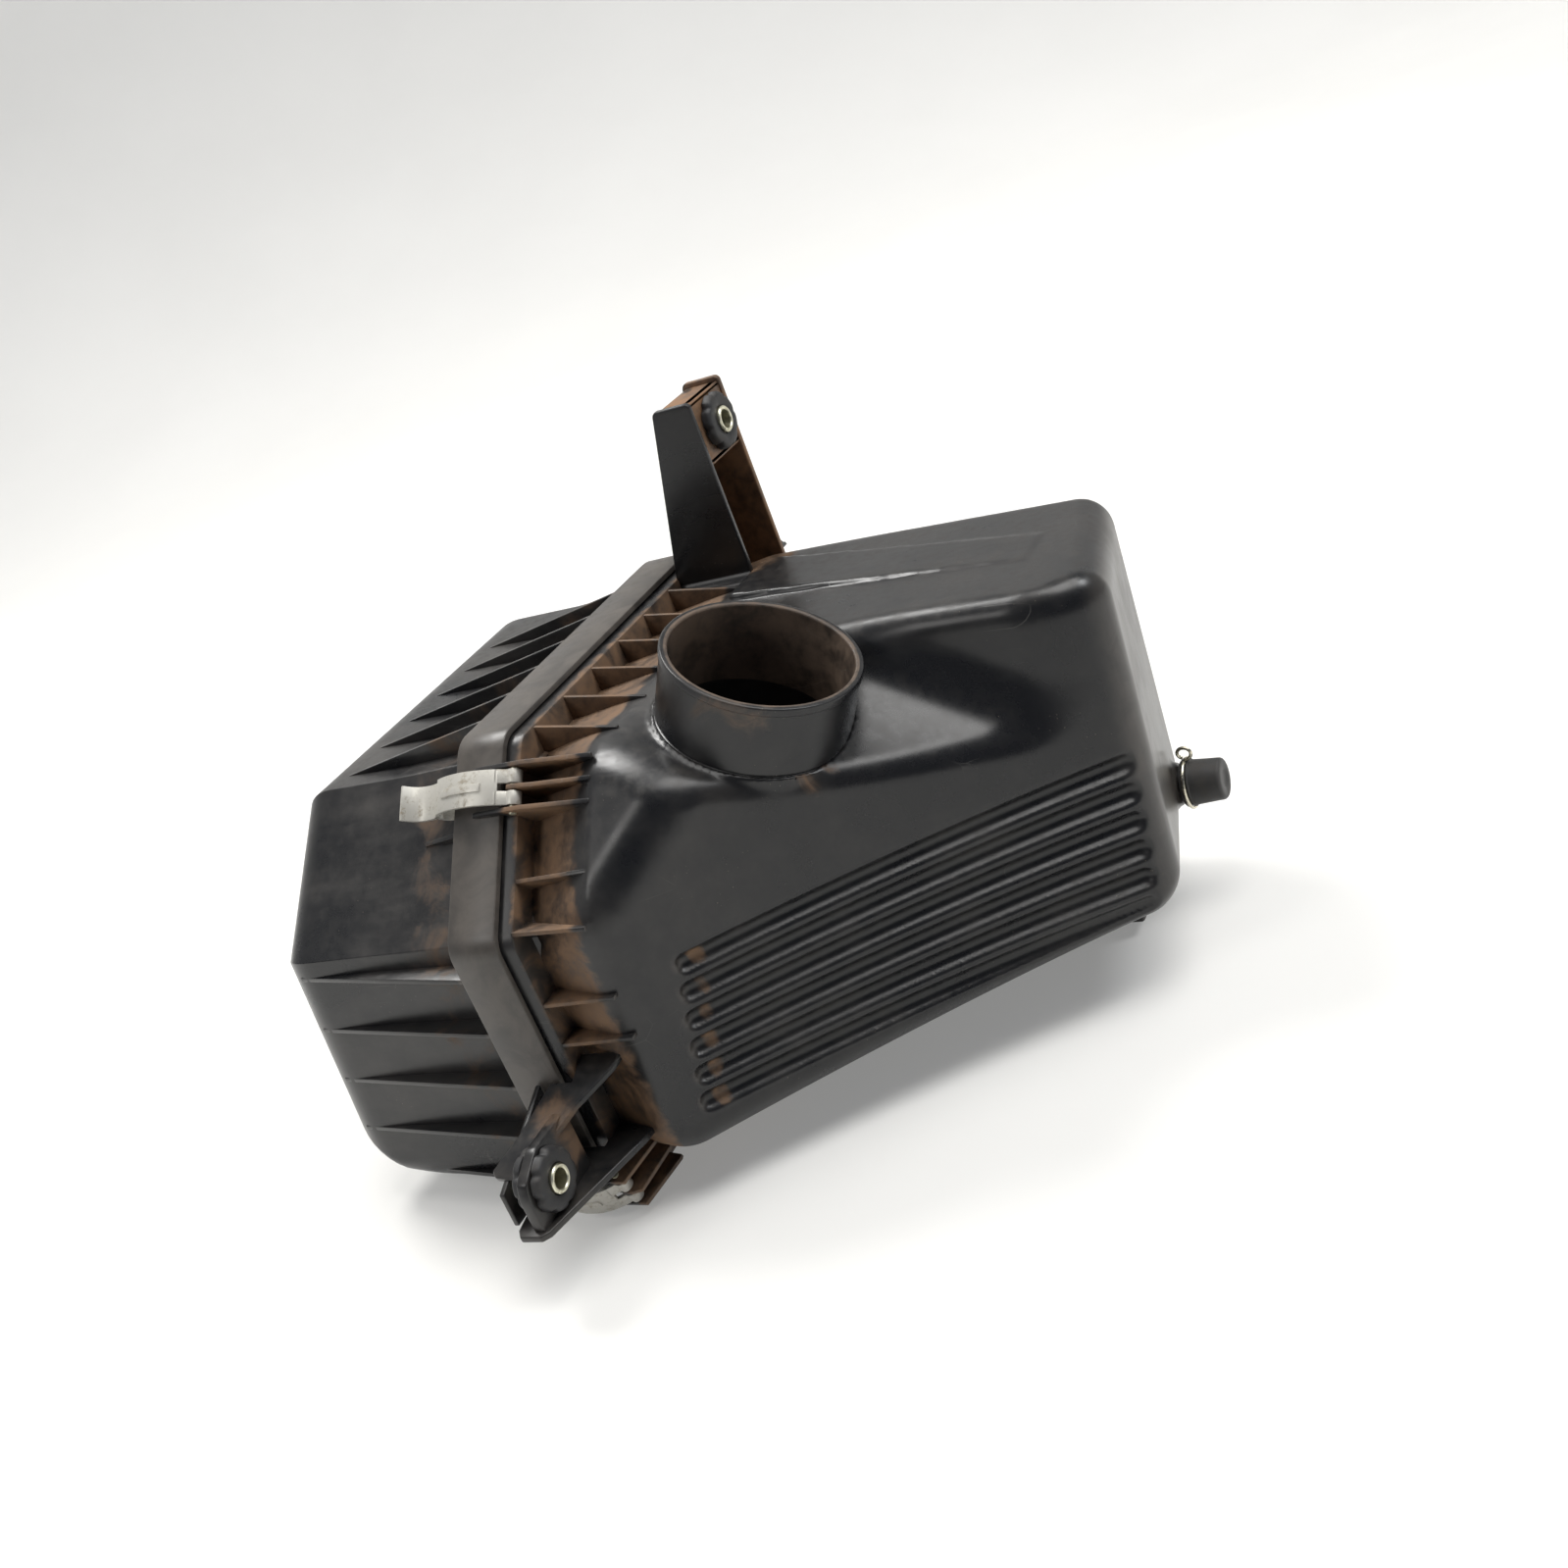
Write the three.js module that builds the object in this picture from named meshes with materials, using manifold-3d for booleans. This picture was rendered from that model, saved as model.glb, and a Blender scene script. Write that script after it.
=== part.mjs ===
// Air filter housing: a main case with a slanted outlet spigot, an end cover that four
// spring clips hold against it, and the filter element between them. Millimetres, +Z up.
// Working frame: X = 0 is the parting plane, the end cover lies at -X and the main case
// at +X; Y = 0 is the front of the cover's rim and Z = 0 its top. At the end the group
// moves so that the origin is at the centre of the bounding box's underside.

import * as THREE from 'three';
import * as BufferGeometryUtils from 'three/addons/utils/BufferGeometryUtils.js';
import Module from 'manifold-3d';

const wasm = await Module();
wasm.setup();

// ---------------------------------------------------------------- driving dimensions

const WALL = 2.5; // moulded wall thickness
const GAP = 0.3; // clearance between pieces that touch
const RIM = { length: 262, height: 201, cutY: 61, cutZ: 63, width: 24 }; // the cover's rim band
const CORNER = 25; // radius of the rim's square corners
const CUT_CORNER = 15; // radius where the cut-off corner begins and ends
const ARC_STEPS = 5; // facets on each rounded corner

const COVER = {
  insets: { front: 12, bottom: 1, back: 12, top: 12, cut: 12 }, // cup wall behind the band's face
  draft: 2, // further inset where the cup's end begins to round off
  endAtTop: -128, // X of the cup's end at the top
  endLean: 0.11, // how far the end moves out per mm of depth
  endRound: 22, // radius of the end's edges
  lowRound: { along: 60, up: 56 }, // the end's lower edge is a long, gentle curve
  recess: 20, // depth of the seal recess inside the band
};
const COVER_STEPS = [0, 0.02, 0.055, 0.11, 0.19, 0.28, 0.4, 0.56, 0.76, 1]; // shares of lowRound.along
const COVER_TOP_RIBS = { first: 79, pitch: 25.3, count: 6, reach: 84 };
const COVER_FRONT_RIBS = { first: -77.5, pitch: -27, count: 4, fromEnd: 14 };
const LOW_RIB = { z: -185.5, from: -100, to: -40 }; // a shorter rib, clear of the low clip's hook

const FLANGE = { inset: 3.5, from: -3, to: 6.5 }; // the main case's flange, mostly inside the band
const SKIRT = { inset: 15, from: -3, to: 8, flareEnd: 43 };
const BODY_INSETS = { front: 4, bottom: 23, back: 10, top: 10, cut: 1 };
const POCKET_TOP_RIBS = { first: 73, pitch: 26.3, count: 6 };
const POCKET_FRONT_RIBS = { first: -95, pitch: -19.5, count: 2 };

const OUTLET = {
  axis: new THREE.Vector3(0.484, 0, 0.875).normalize(), // leans 29 degrees towards +X
  rim: new THREE.Vector3(105, 98, -1), // centre of the mouth
  outer: 40,
  wall: 2.8,
  length: 50,
  ledgeDepth: 33, // from the mouth down to the ledge
};
const GROOVE = { radius: 4.5, sunk: 3.2, first: -94.5, pitch: -12.2, count: 6, leftEnd: 64, endStep: 2.2 };
const NIPPLE = { y: 216, z: -147, outer: 8, bore: 5, tip: 226 };

const BUSH = { outer: 6, bore: 4.25, sides: 24 };
const GROMMET = { outer: 13.2, neck: 9, lip: 4.2, plate: 5, lobes: 8, lobe: 1.6 };
const BRACKET = { web: 3, upperFront: 217, upperBack: 251, lowerBottom: -163.2 };
const UPPER_EYE = { x: 40, y: 235.5, z: 59 }; // x is the left face of the plate that holds the grommet
const LOWER_EYE = { x: 2, y: -37, z: -148 };

const CLIP = { width: 14.6, thickness: 1.5, pinX: 7, pinLift: 0.6, pinRadius: 1.6, earSpread: 9.3, ear: 2 };
const FILTER = { frameInset: 2.9, frameInner: 17, mediaInset: 17.4, pitch: 6, depth: 44, paper: 0.9 };
const INLET = { y: 150, z: -100, halfWidth: 42, halfHeight: 27, round: 18, length: 18 };

// ---------------------------------------------------------------- materials

const plastic = new THREE.MeshStandardMaterial({ color: 0x2b2a29, roughness: 0.5, metalness: 0 });
const rubber = new THREE.MeshStandardMaterial({ color: 0x1c1c1c, roughness: 0.85, metalness: 0 });
const zinc = new THREE.MeshStandardMaterial({ color: 0xb9b48a, roughness: 0.35, metalness: 0.9 });
const clipSteel = new THREE.MeshStandardMaterial({ color: 0xb5b0a2, roughness: 0.55, metalness: 0.5 });
const wire = new THREE.MeshStandardMaterial({ color: 0xcfc6ae, roughness: 0.3, metalness: 0.9 });
const paper = new THREE.MeshStandardMaterial({ color: 0xd8cda6, roughness: 0.95, metalness: 0 });
const foam = new THREE.MeshStandardMaterial({ color: 0x30302e, roughness: 0.95, metalness: 0 });

// ---------------------------------------------------------------- solids

function toSolid(geometry) {
  const bare = geometry.index ? geometry.toNonIndexed() : geometry.clone();
  bare.deleteAttribute('normal');
  bare.deleteAttribute('uv');
  const merged = BufferGeometryUtils.mergeVertices(bare, 1e-4);
  const build = (triVerts) => {
    const vertProperties = new Float32Array(merged.attributes.position.array);
    const mesh = new wasm.Mesh({ numProp: 3, vertProperties, triVerts });
    mesh.merge();
    return new wasm.Manifold(mesh);
  };
  const faces = new Uint32Array(merged.index.array);
  const solid = build(faces);
  return solid.volume() > 0 ? solid : build(faces.reverse()); // faces always point out
}

function toGeometry(solid) {
  const mesh = solid.getMesh();
  const geometry = new THREE.BufferGeometry();
  geometry.setAttribute('position', new THREE.BufferAttribute(mesh.vertProperties, 3));
  geometry.setIndex(new THREE.BufferAttribute(mesh.triVerts, 1));
  geometry.computeVertexNormals();
  return geometry;
}

const join = (first, ...rest) => rest.reduce((whole, solid) => whole.add(solid), first);
const cut = (first, ...rest) => rest.reduce((whole, solid) => whole.subtract(solid), first);

// An outline of [a, b] points pushed from one coordinate to another. The basis says where
// the outline's two axes and the push direction point.
function prism(points, depth, right, up, push, origin) {
  const shape = new THREE.Shape(points.map(([a, b]) => new THREE.Vector2(a, b)));
  const geometry = new THREE.ExtrudeGeometry(shape, { depth, bevelEnabled: false });
  const place = new THREE.Matrix4().makeBasis(right, up, push).setPosition(origin);
  return toSolid(geometry.applyMatrix4(place));
}

const AXIS_X = new THREE.Vector3(1, 0, 0);
const AXIS_Y = new THREE.Vector3(0, 1, 0);
const AXIS_Z = new THREE.Vector3(0, 0, 1);
const at = (x, y, z) => new THREE.Vector3(x, y, z);

// points are [y, z]
const prismX = (points, from, to) => prism(points, to - from, AXIS_Y, AXIS_Z, AXIS_X, at(from, 0, 0));
// points are [x, z]
const prismY = (points, from, to) =>
  prism(points, to - from, AXIS_X, AXIS_Z, AXIS_Y.clone().negate(), at(0, to, 0));
// points are [x, y]
const prismZ = (points, from, to) => prism(points, to - from, AXIS_X, AXIS_Y, AXIS_Z, at(0, 0, from));

// A folded or bent sheet between two lines of [a, b] points, as wide as given. The basis
// says where the lines' two axes and the width point.
function ribbon(near, far, width, right, up, push, origin) {
  const last = near.length - 1;
  const corners = near.flatMap(([a, b], i) => [a, b, 0, ...far[i], 0, a, b, width, ...far[i], width]);
  const faces = [];
  const quad = (a, b, c, d) => faces.push(a, b, c, a, c, d);
  for (let k = 0; k < last; k++) {
    const [n, f, N, F] = [0, 1, 2, 3].map((corner) => 4 * k + corner);
    quad(n, n + 4, N + 4, N);
    quad(f, F, F + 4, f + 4);
    quad(n, f, f + 4, n + 4);
    quad(N, N + 4, F + 4, F);
  }
  quad(0, 2, 3, 1);
  quad(4 * last, 4 * last + 1, 4 * last + 3, 4 * last + 2);
  const geometry = new THREE.BufferGeometry();
  geometry.setAttribute('position', new THREE.Float32BufferAttribute(corners, 3));
  geometry.setIndex(faces);
  const place = new THREE.Matrix4().makeBasis(right, up, push).setPosition(origin);
  return toSolid(geometry.applyMatrix4(place));
}

// A straight round bar between two points.
function rod(from, to, radius, sides = 16) {
  const along = to.clone().sub(from);
  const geometry = new THREE.CylinderGeometry(radius, radius, along.length(), sides);
  const turn = new THREE.Quaternion().setFromUnitVectors(AXIS_Y, along.clone().normalize());
  const middle = from.clone().add(to).multiplyScalar(0.5);
  return toSolid(geometry.applyMatrix4(new THREE.Matrix4().compose(middle, turn, at(1, 1, 1))));
}

function ball(centre, radius, segments) {
  const geometry = new THREE.SphereGeometry(radius, segments, segments / 2);
  return toSolid(geometry.translate(centre.x, centre.y, centre.z));
}

// A profile of [distance along X, radius] points, closed on itself, turned about an
// X-parallel axis through y, z.
function turnedAboutX(profile, x, y, z, sides = 32) {
  const closed = [...profile, profile[0]].map(([along, radius]) => new THREE.Vector2(radius, along));
  const geometry = new THREE.LatheGeometry(closed, sides);
  geometry.rotateZ(-Math.PI / 2);
  geometry.translate(x, y, z);
  return toSolid(geometry);
}

// Everything beyond the plane through a point, on the side its normal points to.
const FAR = 900;
function beyond(normal, point) {
  const turn = new THREE.Quaternion().setFromUnitVectors(AXIS_Z, normal);
  const centre = point.clone().addScaledVector(normal, FAR / 2);
  const box = new THREE.BoxGeometry(FAR, FAR, FAR);
  return toSolid(box.applyMatrix4(new THREE.Matrix4().compose(centre, turn, at(1, 1, 1))));
}

// ---------------------------------------------------------------- the rim outline

// The rim's edges, going round anticlockwise from the front, with the radius of the corner
// where each ends. insets moves each edge inwards.
function rimCorners(insets) {
  const cutNormal = [-RIM.cutZ, RIM.cutY];
  const cutLength = Math.hypot(...cutNormal);
  const lowCorner = CORNER + Math.max(0, insets.front - insets.bottom); // rounder where the wall is near
  const edges = [
    { normal: [-1, 0], reach: -insets.front, corner: lowCorner },
    { normal: [0, -1], reach: RIM.height - insets.bottom, corner: lowCorner },
    { normal: [1, 0], reach: RIM.length - insets.back, corner: CORNER },
    { normal: [0, 1], reach: -insets.top, corner: CUT_CORNER },
    {
      normal: cutNormal.map((n) => n / cutLength),
      reach: (cutNormal[0] * RIM.cutY) / cutLength - insets.cut,
      corner: CUT_CORNER,
    },
  ];
  return edges.map((edge, i) => {
    const next = edges[(i + 1) % edges.length];
    const [a, b] = edge.normal;
    const [c, d] = next.normal;
    const det = a * d - b * c;
    const corner = [(edge.reach * d - next.reach * b) / det, (next.reach * a - edge.reach * c) / det];
    return { corner, from: edge.normal, to: next.normal, radius: edge.corner };
  });
}

const even = (inset) => ({ front: inset, bottom: inset, back: inset, top: inset, cut: inset });
const deeper = (insets, extra) =>
  Object.fromEntries(Object.entries(insets).map(([edge, inset]) => [edge, inset + extra]));

// The rounded outline as [y, z] points.
function rim(insets, less = insets.front) {
  const points = [];
  for (const { corner, from, to, radius } of rimCorners(insets)) {
    const r = Math.max(radius - less, 3);
    const start = Math.atan2(from[1], from[0]);
    let sweep = Math.atan2(to[1], to[0]) - start;
    if (sweep < 0) sweep += 2 * Math.PI;
    const reach = r / Math.cos(sweep / 2);
    const middle = start + sweep / 2;
    const centre = [corner[0] - reach * Math.cos(middle), corner[1] - reach * Math.sin(middle)];
    for (let k = 0; k <= ARC_STEPS; k++) {
      const angle = start + (sweep * k) / ARC_STEPS;
      points.push([centre[0] + r * Math.cos(angle), centre[1] + r * Math.sin(angle)]);
    }
  }
  return points;
}

// A solid skinned over rings of [x, y, z] points; the rings have equal counts and run
// towards +X.
function skin(rings) {
  const count = rings[0].length;
  const middle = (ring) => [0, 1, 2].map((i) => ring.reduce((sum, p) => sum + p[i], 0) / count);
  const last = rings.length - 1;
  const vertices = [...rings.flat(), middle(rings[0]), middle(rings[last])];
  const faces = [];
  for (let k = 0; k < count; k++) {
    const next = (k + 1) % count;
    for (let ring = 0; ring < last; ring++) {
      const here = ring * count;
      faces.push(here + k, here + next, here + count + next);
      faces.push(here + k, here + count + next, here + count + k);
    }
    faces.push(rings.length * count, next, k);
    faces.push(rings.length * count + 1, last * count + k, last * count + next);
  }
  const geometry = new THREE.BufferGeometry();
  geometry.setAttribute('position', new THREE.Float32BufferAttribute(vertices.flat(), 3));
  geometry.setIndex(faces);
  return toSolid(geometry);
}

// A place on the rim: its point, the outward normal and the direction along the rim.
function station(y, z, normalY, normalZ) {
  const out = at(0, normalY, normalZ).normalize();
  return { point: at(0, y, z), out, along: new THREE.Vector3().crossVectors(AXIS_X, out) };
}

const cutLength = Math.hypot(RIM.cutY, RIM.cutZ);
const cutPoint = (s) => [RIM.cutY * (1 - s / cutLength), (-RIM.cutZ * s) / cutLength];
const LOW_CLIP = { y: Math.cos(0.38), z: Math.sin(0.38) }; // 22 degrees below level
const lowPoint = [CORNER * (1 - LOW_CLIP.y), CORNER * (1 - LOW_CLIP.z) - RIM.height];
const STATIONS = {
  front_upper: station(...cutPoint(23.8), -RIM.cutZ, RIM.cutY),
  front_lower: station(...lowPoint, -LOW_CLIP.y, -LOW_CLIP.z),
  back_upper: station(RIM.length, -48, 1, 0),
  back_lower: station(RIM.length - lowPoint[0], lowPoint[1], LOW_CLIP.y, -LOW_CLIP.z),
};

// where each clip's plates run into the body, and how far below the rim that is
const CLIP_BODY = {
  front_upper: { end: SKIRT.flareEnd, depth: 0.8 },
  front_lower: { end: 23, depth: 17 },
  back_upper: { end: SKIRT.flareEnd, depth: 10 },
  back_lower: { end: 36, depth: 19 },
};

// Outline points [x, height above the rim], as wide as given along the rim.
function acrossRim(place, points, width, offset = 0) {
  const origin = place.point.clone().addScaledVector(place.along, offset + width / 2);
  return prism(points, width, AXIS_X, place.out, place.along.clone().negate(), origin);
}

// ---------------------------------------------------------------- end cover

const coverEnd = (z) => COVER.endAtTop + COVER.endLean * z;

// How far an edge has drawn in at this depth below the end, for a quarter-ellipse edge.
function drawnIn(depth, along, up) {
  const left = 1 - Math.min(depth / along, 1);
  return up * (1 - Math.sqrt(1 - left * left));
}

function coverCup(wall) {
  const round = COVER.endRound - wall;
  const low = { along: COVER.lowRound.along - wall, up: COVER.lowRound.up - wall };
  const shoulder = deeper(COVER.insets, wall + COVER.draft);
  const rings = COVER_STEPS.map((share) => {
    const depth = share * low.along;
    const insets = deeper(shoulder, drawnIn(depth, round, round));
    insets.bottom = shoulder.bottom + drawnIn(depth, low.along, low.up);
    return rim(insets).map(([y, z]) => [coverEnd(z) + wall + depth, y, z]);
  });
  const mouth = wall ? -RIM.width - 1 : -RIM.width + 2;
  rings.push(rim(deeper(COVER.insets, wall)).map(([y, z]) => [mouth, y, z]));
  return skin(rings);
}

function coverRibs() {
  const ribs = [];
  const root = COVER.insets.front + COVER.draft + 1;
  const topTip = -RIM.width - COVER_TOP_RIBS.reach;
  for (let k = 0; k < COVER_TOP_RIBS.count; k++) {
    const y = COVER_TOP_RIBS.first + COVER_TOP_RIBS.pitch * k;
    const side = [[topTip, -root], [1 - RIM.width, -root], [1 - RIM.width, 0]];
    ribs.push(prismY([...side, [-RIM.width, 0], [topTip, 0.6 - root]], y - 1, y + 1));
  }
  for (let k = 0; k < COVER_FRONT_RIBS.count; k++) {
    const z = COVER_FRONT_RIBS.first + COVER_FRONT_RIBS.pitch * k;
    const tip = coverEnd(z) + COVER_FRONT_RIBS.fromEnd;
    const side = [[tip, root + 1], [tip, root], [-RIM.width, 0], [1 - RIM.width, 0], [1 - RIM.width, root]];
    ribs.push(prismZ(side, z - 1, z + 1));
  }
  const low = [[LOW_RIB.from, root + 3], [LOW_RIB.from, root + 1], [LOW_RIB.to, 7], [LOW_RIB.to, root + 3]];
  ribs.push(prismZ(low, LOW_RIB.z - 1, LOW_RIB.z + 1));
  const lug = acrossRim(STATIONS.front_upper, [[-50, -14], [-23, -14], [-23, -6], [-26, -5], [-48, -11.5]], 2, -14);
  return [...ribs, lug];
}

function oval(grow) {
  const { y, z, halfWidth, halfHeight, round } = INLET;
  const points = [];
  for (const [sideY, sideZ, start] of [[1, 1, 0], [-1, 1, 1], [-1, -1, 2], [1, -1, 3]]) {
    for (let k = 0; k <= 4; k++) {
      const angle = ((start + k / 4) * Math.PI) / 2;
      points.push([
        y + sideY * (halfWidth - round) + (round + grow) * Math.cos(angle),
        z + sideZ * (halfHeight - round) + (round + grow) * Math.sin(angle),
      ]);
    }
  }
  return points;
}

const inletFace = coverEnd(INLET.z - INLET.halfHeight) - INLET.length;

function endCover() {
  const band = prismX(rim(even(0)), -RIM.width, 0);
  const recess = prismX(rim(even(WALL)), -COVER.recess, 1);
  const well = prismX(rim(deeper(COVER.insets, WALL)), -RIM.width - 2, 1);
  const collar = prismX(oval(WALL), inletFace, coverEnd(0) - 2);
  const shell = cut(join(band, coverCup(0), collar, ...coverRibs()), recess, well, coverCup(WALL));
  const passage = prismX(oval(0), inletFace - 1, coverEnd(0) + 12);
  return cut(shell, passage);
}

// ---------------------------------------------------------------- main case

// The planes that cut the body back. Each is a normal, pointing out of the body, and a
// point on the outer face.
const PLANES = {
  frontLeft: { normal: at(0.713, -0.701, -0.06), point: at(45, 5, -70) },
  frontRight: { normal: at(0.5, -0.86, 0.1), point: at(227, 147, -85) },
  end: { normal: at(0.974, 0.22, -0.045), point: at(226, 149, -85) },
  top: { normal: at(0.036, 0, 1), point: at(41, 0, -10) },
  bottom: { normal: at(0.073, 0, -0.997), point: at(35, 0, -177) },
  ledge: { normal: OUTLET.axis.clone(), point: OUTLET.rim.clone().addScaledVector(OUTLET.axis, -OUTLET.ledgeDepth) },
  ramp: { normal: at(0.407, -0.54, 0.736), point: at(105, 102, -39.2) },
  wall: { normal: at(0, -0.995, 0.1), point: at(160, 139, -10) },
};
for (const plane of Object.values(PLANES)) plane.normal.normalize();

function beyondPlane(name, wall) {
  const { normal, point } = PLANES[name];
  return beyond(normal, point.clone().addScaledVector(normal, -wall));
}

// Where the front's two faces meet at a height, and a point of a face at a given x.
function creaseAt(z) {
  const [a, b] = [PLANES.frontLeft, PLANES.frontRight];
  const reachA = a.normal.dot(a.point) - a.normal.z * z;
  const reachB = b.normal.dot(b.point) - b.normal.z * z;
  const det = a.normal.x * b.normal.y - a.normal.y * b.normal.x;
  return at(
    (reachA * b.normal.y - reachB * a.normal.y) / det,
    (reachB * a.normal.x - reachA * b.normal.x) / det,
    z,
  );
}
function onFace(name, x, z) {
  const { normal, point } = PLANES[name];
  return at(x, (normal.dot(point) - normal.x * x - normal.z * z) / normal.y, z);
}

// The six finger-wide grooves across the front, as solid bars of a given radius.
function grooveBars(radius, sides) {
  const bars = [];
  for (let k = 0; k < GROOVE.count; k++) {
    const z = GROOVE.first + GROOVE.pitch * k;
    const lift = GROOVE.radius - GROOVE.sunk;
    const raise = (name, p) => p.clone().addScaledVector(PLANES[name].normal, lift);
    const left = raise('frontLeft', onFace('frontLeft', GROOVE.leftEnd - GROOVE.endStep * k, z));
    const bend = raise('frontLeft', creaseAt(z));
    const right = raise('frontRight', onFace('frontRight', 218 - k, z));
    bars.push(rod(left, bend, radius, sides), rod(bend, right, radius, sides));
    bars.push(ball(left, radius, sides), ball(right, radius, sides));
  }
  return join(...bars);
}

// The body: the rim's outline swept towards +X, then cut by the slanted faces. The front
// is hollow along its crease, and the ledge, ramp and back wall make one hollow corner.
function bodySolid(wall) {
  const narrow = rim(even(SKIRT.inset + wall));
  const wide = rim(deeper(BODY_INSETS, wall), 8 + wall);
  const rings = [
    narrow.map(([y, z]) => [wall ? SKIRT.from - 1 : SKIRT.from, y, z]),
    narrow.map(([y, z]) => [SKIRT.to, y, z]),
    wide.map(([y, z]) => [SKIRT.flareEnd, y, z]),
    wide.map(([y, z]) => [260, y, z]),
  ];
  const front = beyondPlane('frontLeft', wall).intersect(beyondPlane('frontRight', wall));
  const corner = beyondPlane('ledge', wall)
    .intersect(beyondPlane('ramp', wall))
    .intersect(beyondPlane('wall', wall));
  const ends = ['end', 'bottom', 'top'].map((name) => beyondPlane(name, wall));
  return cut(skin(rings), front, corner, ...ends);
}

function outletTube(radius, from, to, sides) {
  const along = (distance) => OUTLET.rim.clone().addScaledVector(OUTLET.axis, distance);
  return rod(along(from), along(to), radius, sides);
}

function outlet() {
  const tube = outletTube(OUTLET.outer, -OUTLET.length, 0, 40);
  const foot = outletTube(OUTLET.outer + 1, -OUTLET.length, -OUTLET.ledgeDepth + 1.5, 40);
  const lip = outletTube(OUTLET.outer + 0.7, -3, 0, 40);
  return join(tube, foot, lip);
}

function nipple() {
  const { y, z, outer, tip } = NIPPLE;
  const root = PLANES.end.point.x - 25;
  const barb = turnedAboutX([[tip - 7, 0], [tip - 7, outer], [tip - 5, outer + 0.8], [tip, outer - 0.8], [tip, 0]], 0, y, z, 24);
  return join(rod(at(root, y, z), at(tip - 1, y, z), outer, 24), barb);
}

// Triangular ribs that tie the flange to the body across the pocket behind it.
function pocketRibs() {
  const ribs = [];
  const from = FLANGE.to - 1;
  const floor = SKIRT.inset + 1;
  for (let k = 0; k < POCKET_TOP_RIBS.count; k++) {
    const y = POCKET_TOP_RIBS.first + POCKET_TOP_RIBS.pitch * k;
    const top = [[SKIRT.flareEnd + 2, -BODY_INSETS.top - 0.3], [from, -FLANGE.inset - 0.5]];
    ribs.push(prismY([[from, -floor], [SKIRT.flareEnd + 2, -BODY_INSETS.top - 2], ...top], y - 0.9, y + 0.9));
  }
  for (let k = 0; k < POCKET_FRONT_RIBS.count; k++) {
    const z = POCKET_FRONT_RIBS.first + POCKET_FRONT_RIBS.pitch * k;
    const edge = [[from, FLANGE.inset + 0.5], [SKIRT.flareEnd - 3, BODY_INSETS.front + 1.2]];
    ribs.push(prismZ([...edge, [SKIRT.flareEnd - 3, floor - 4], [from, floor]], z - 0.9, z + 0.9));
  }
  const cutRib = [[from, -floor], [SKIRT.flareEnd, -3], [SKIRT.flareEnd, -1.3], [from, -FLANGE.inset - 0.5]];
  ribs.push(acrossRim(station(...cutPoint(61), -RIM.cutZ, RIM.cutY), cutRib, 1.8));
  ribs.push(acrossRim(station(...cutPoint(cutLength - 3), -RIM.cutZ - 30, 20), cutRib, 1.8));
  return ribs;
}

// The three plates that carry one clip's pin: two ears that reach over the band and a
// short middle one.
function clipPlates(place, body) {
  const { pinX, pinLift, pinRadius, earSpread, ear } = CLIP;
  const foot = -SKIRT.inset - 1;
  const heel = [body.end - 8, Math.min(foot + 4, -body.depth - 3)];
  const end = [heel, [body.end, -body.depth - 1.6], [body.end, -body.depth]];
  const root = [[FLANGE.from + 4.5, foot], ...end];
  const earTop = [[pinX + 5, 4], [-9, 3.4], [-12, 2.6], [-13, 1.4], [-12.4, 0.7], [FLANGE.from + 4.5, 0.7]];
  const middle = [[pinX - 3.4, foot], ...end];
  const middleTop = [[pinX + 8, 2.4], [pinX + 2.5, 3.8], [pinX - 1.5, 3.8], [pinX - 3.4, 1.5]];
  const plates = [-earSpread, earSpread].map((offset) => acrossRim(place, [...root, ...earTop], ear, offset));
  plates.push(acrossRim(place, [...middle, ...middleTop], ear, 0));
  const holeEnd = earSpread + ear;
  const pinAt = (offset) =>
    place.point.clone().add(at(pinX, 0, 0)).addScaledVector(place.out, pinLift).addScaledVector(place.along, offset);
  const hole = rod(pinAt(-holeEnd), pinAt(holeEnd), pinRadius + GAP, 16);
  return { plates, hole };
}

// A U-shaped arm: two webs and a back plate, and near its tip a thick plate with the hole
// for the grommet. The upper arm stands up, the lower one points forwards.
function upperBracket() {
  const { web, upperFront, upperBack } = BRACKET;
  const root = -BODY_INSETS.top - 6;
  const profile = (top) => [[2, root], [45, root], [46, top - 3], [44, top], [29, top], [26, top - 3]];
  const front = prismY(profile(74.6), upperFront - web / 2, upperFront + web / 2);
  const back = prismY(profile(76), upperBack - web / 2, upperBack + web / 2);
  const backPlate = prismY([[3.5, root], [7, root], [30, 68], [30, 71], [27, 68]], upperFront, upperBack);
  const right = UPPER_EYE.x + GROMMET.plate;
  const eye = prismY([[23, 36], [right, 44], [right, 73.5], [28, 73.5]], upperFront, upperBack);
  const behind = prismY([[25, 41], [UPPER_EYE.x, 46], [UPPER_EYE.x, 71], [31, 71]], upperFront + web, upperBack - web);
  const hole = rod(at(15, UPPER_EYE.y, UPPER_EYE.z), at(60, UPPER_EYE.y, UPPER_EYE.z), GROMMET.neck + GAP, 24);
  const clear = rod(
    at(31, UPPER_EYE.y, UPPER_EYE.z), at(UPPER_EYE.x, UPPER_EYE.y, UPPER_EYE.z), GROMMET.outer + 0.8, 24);
  return cut(join(front, back, backPlate, cut(eye, behind)), hole, clear);
}

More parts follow.
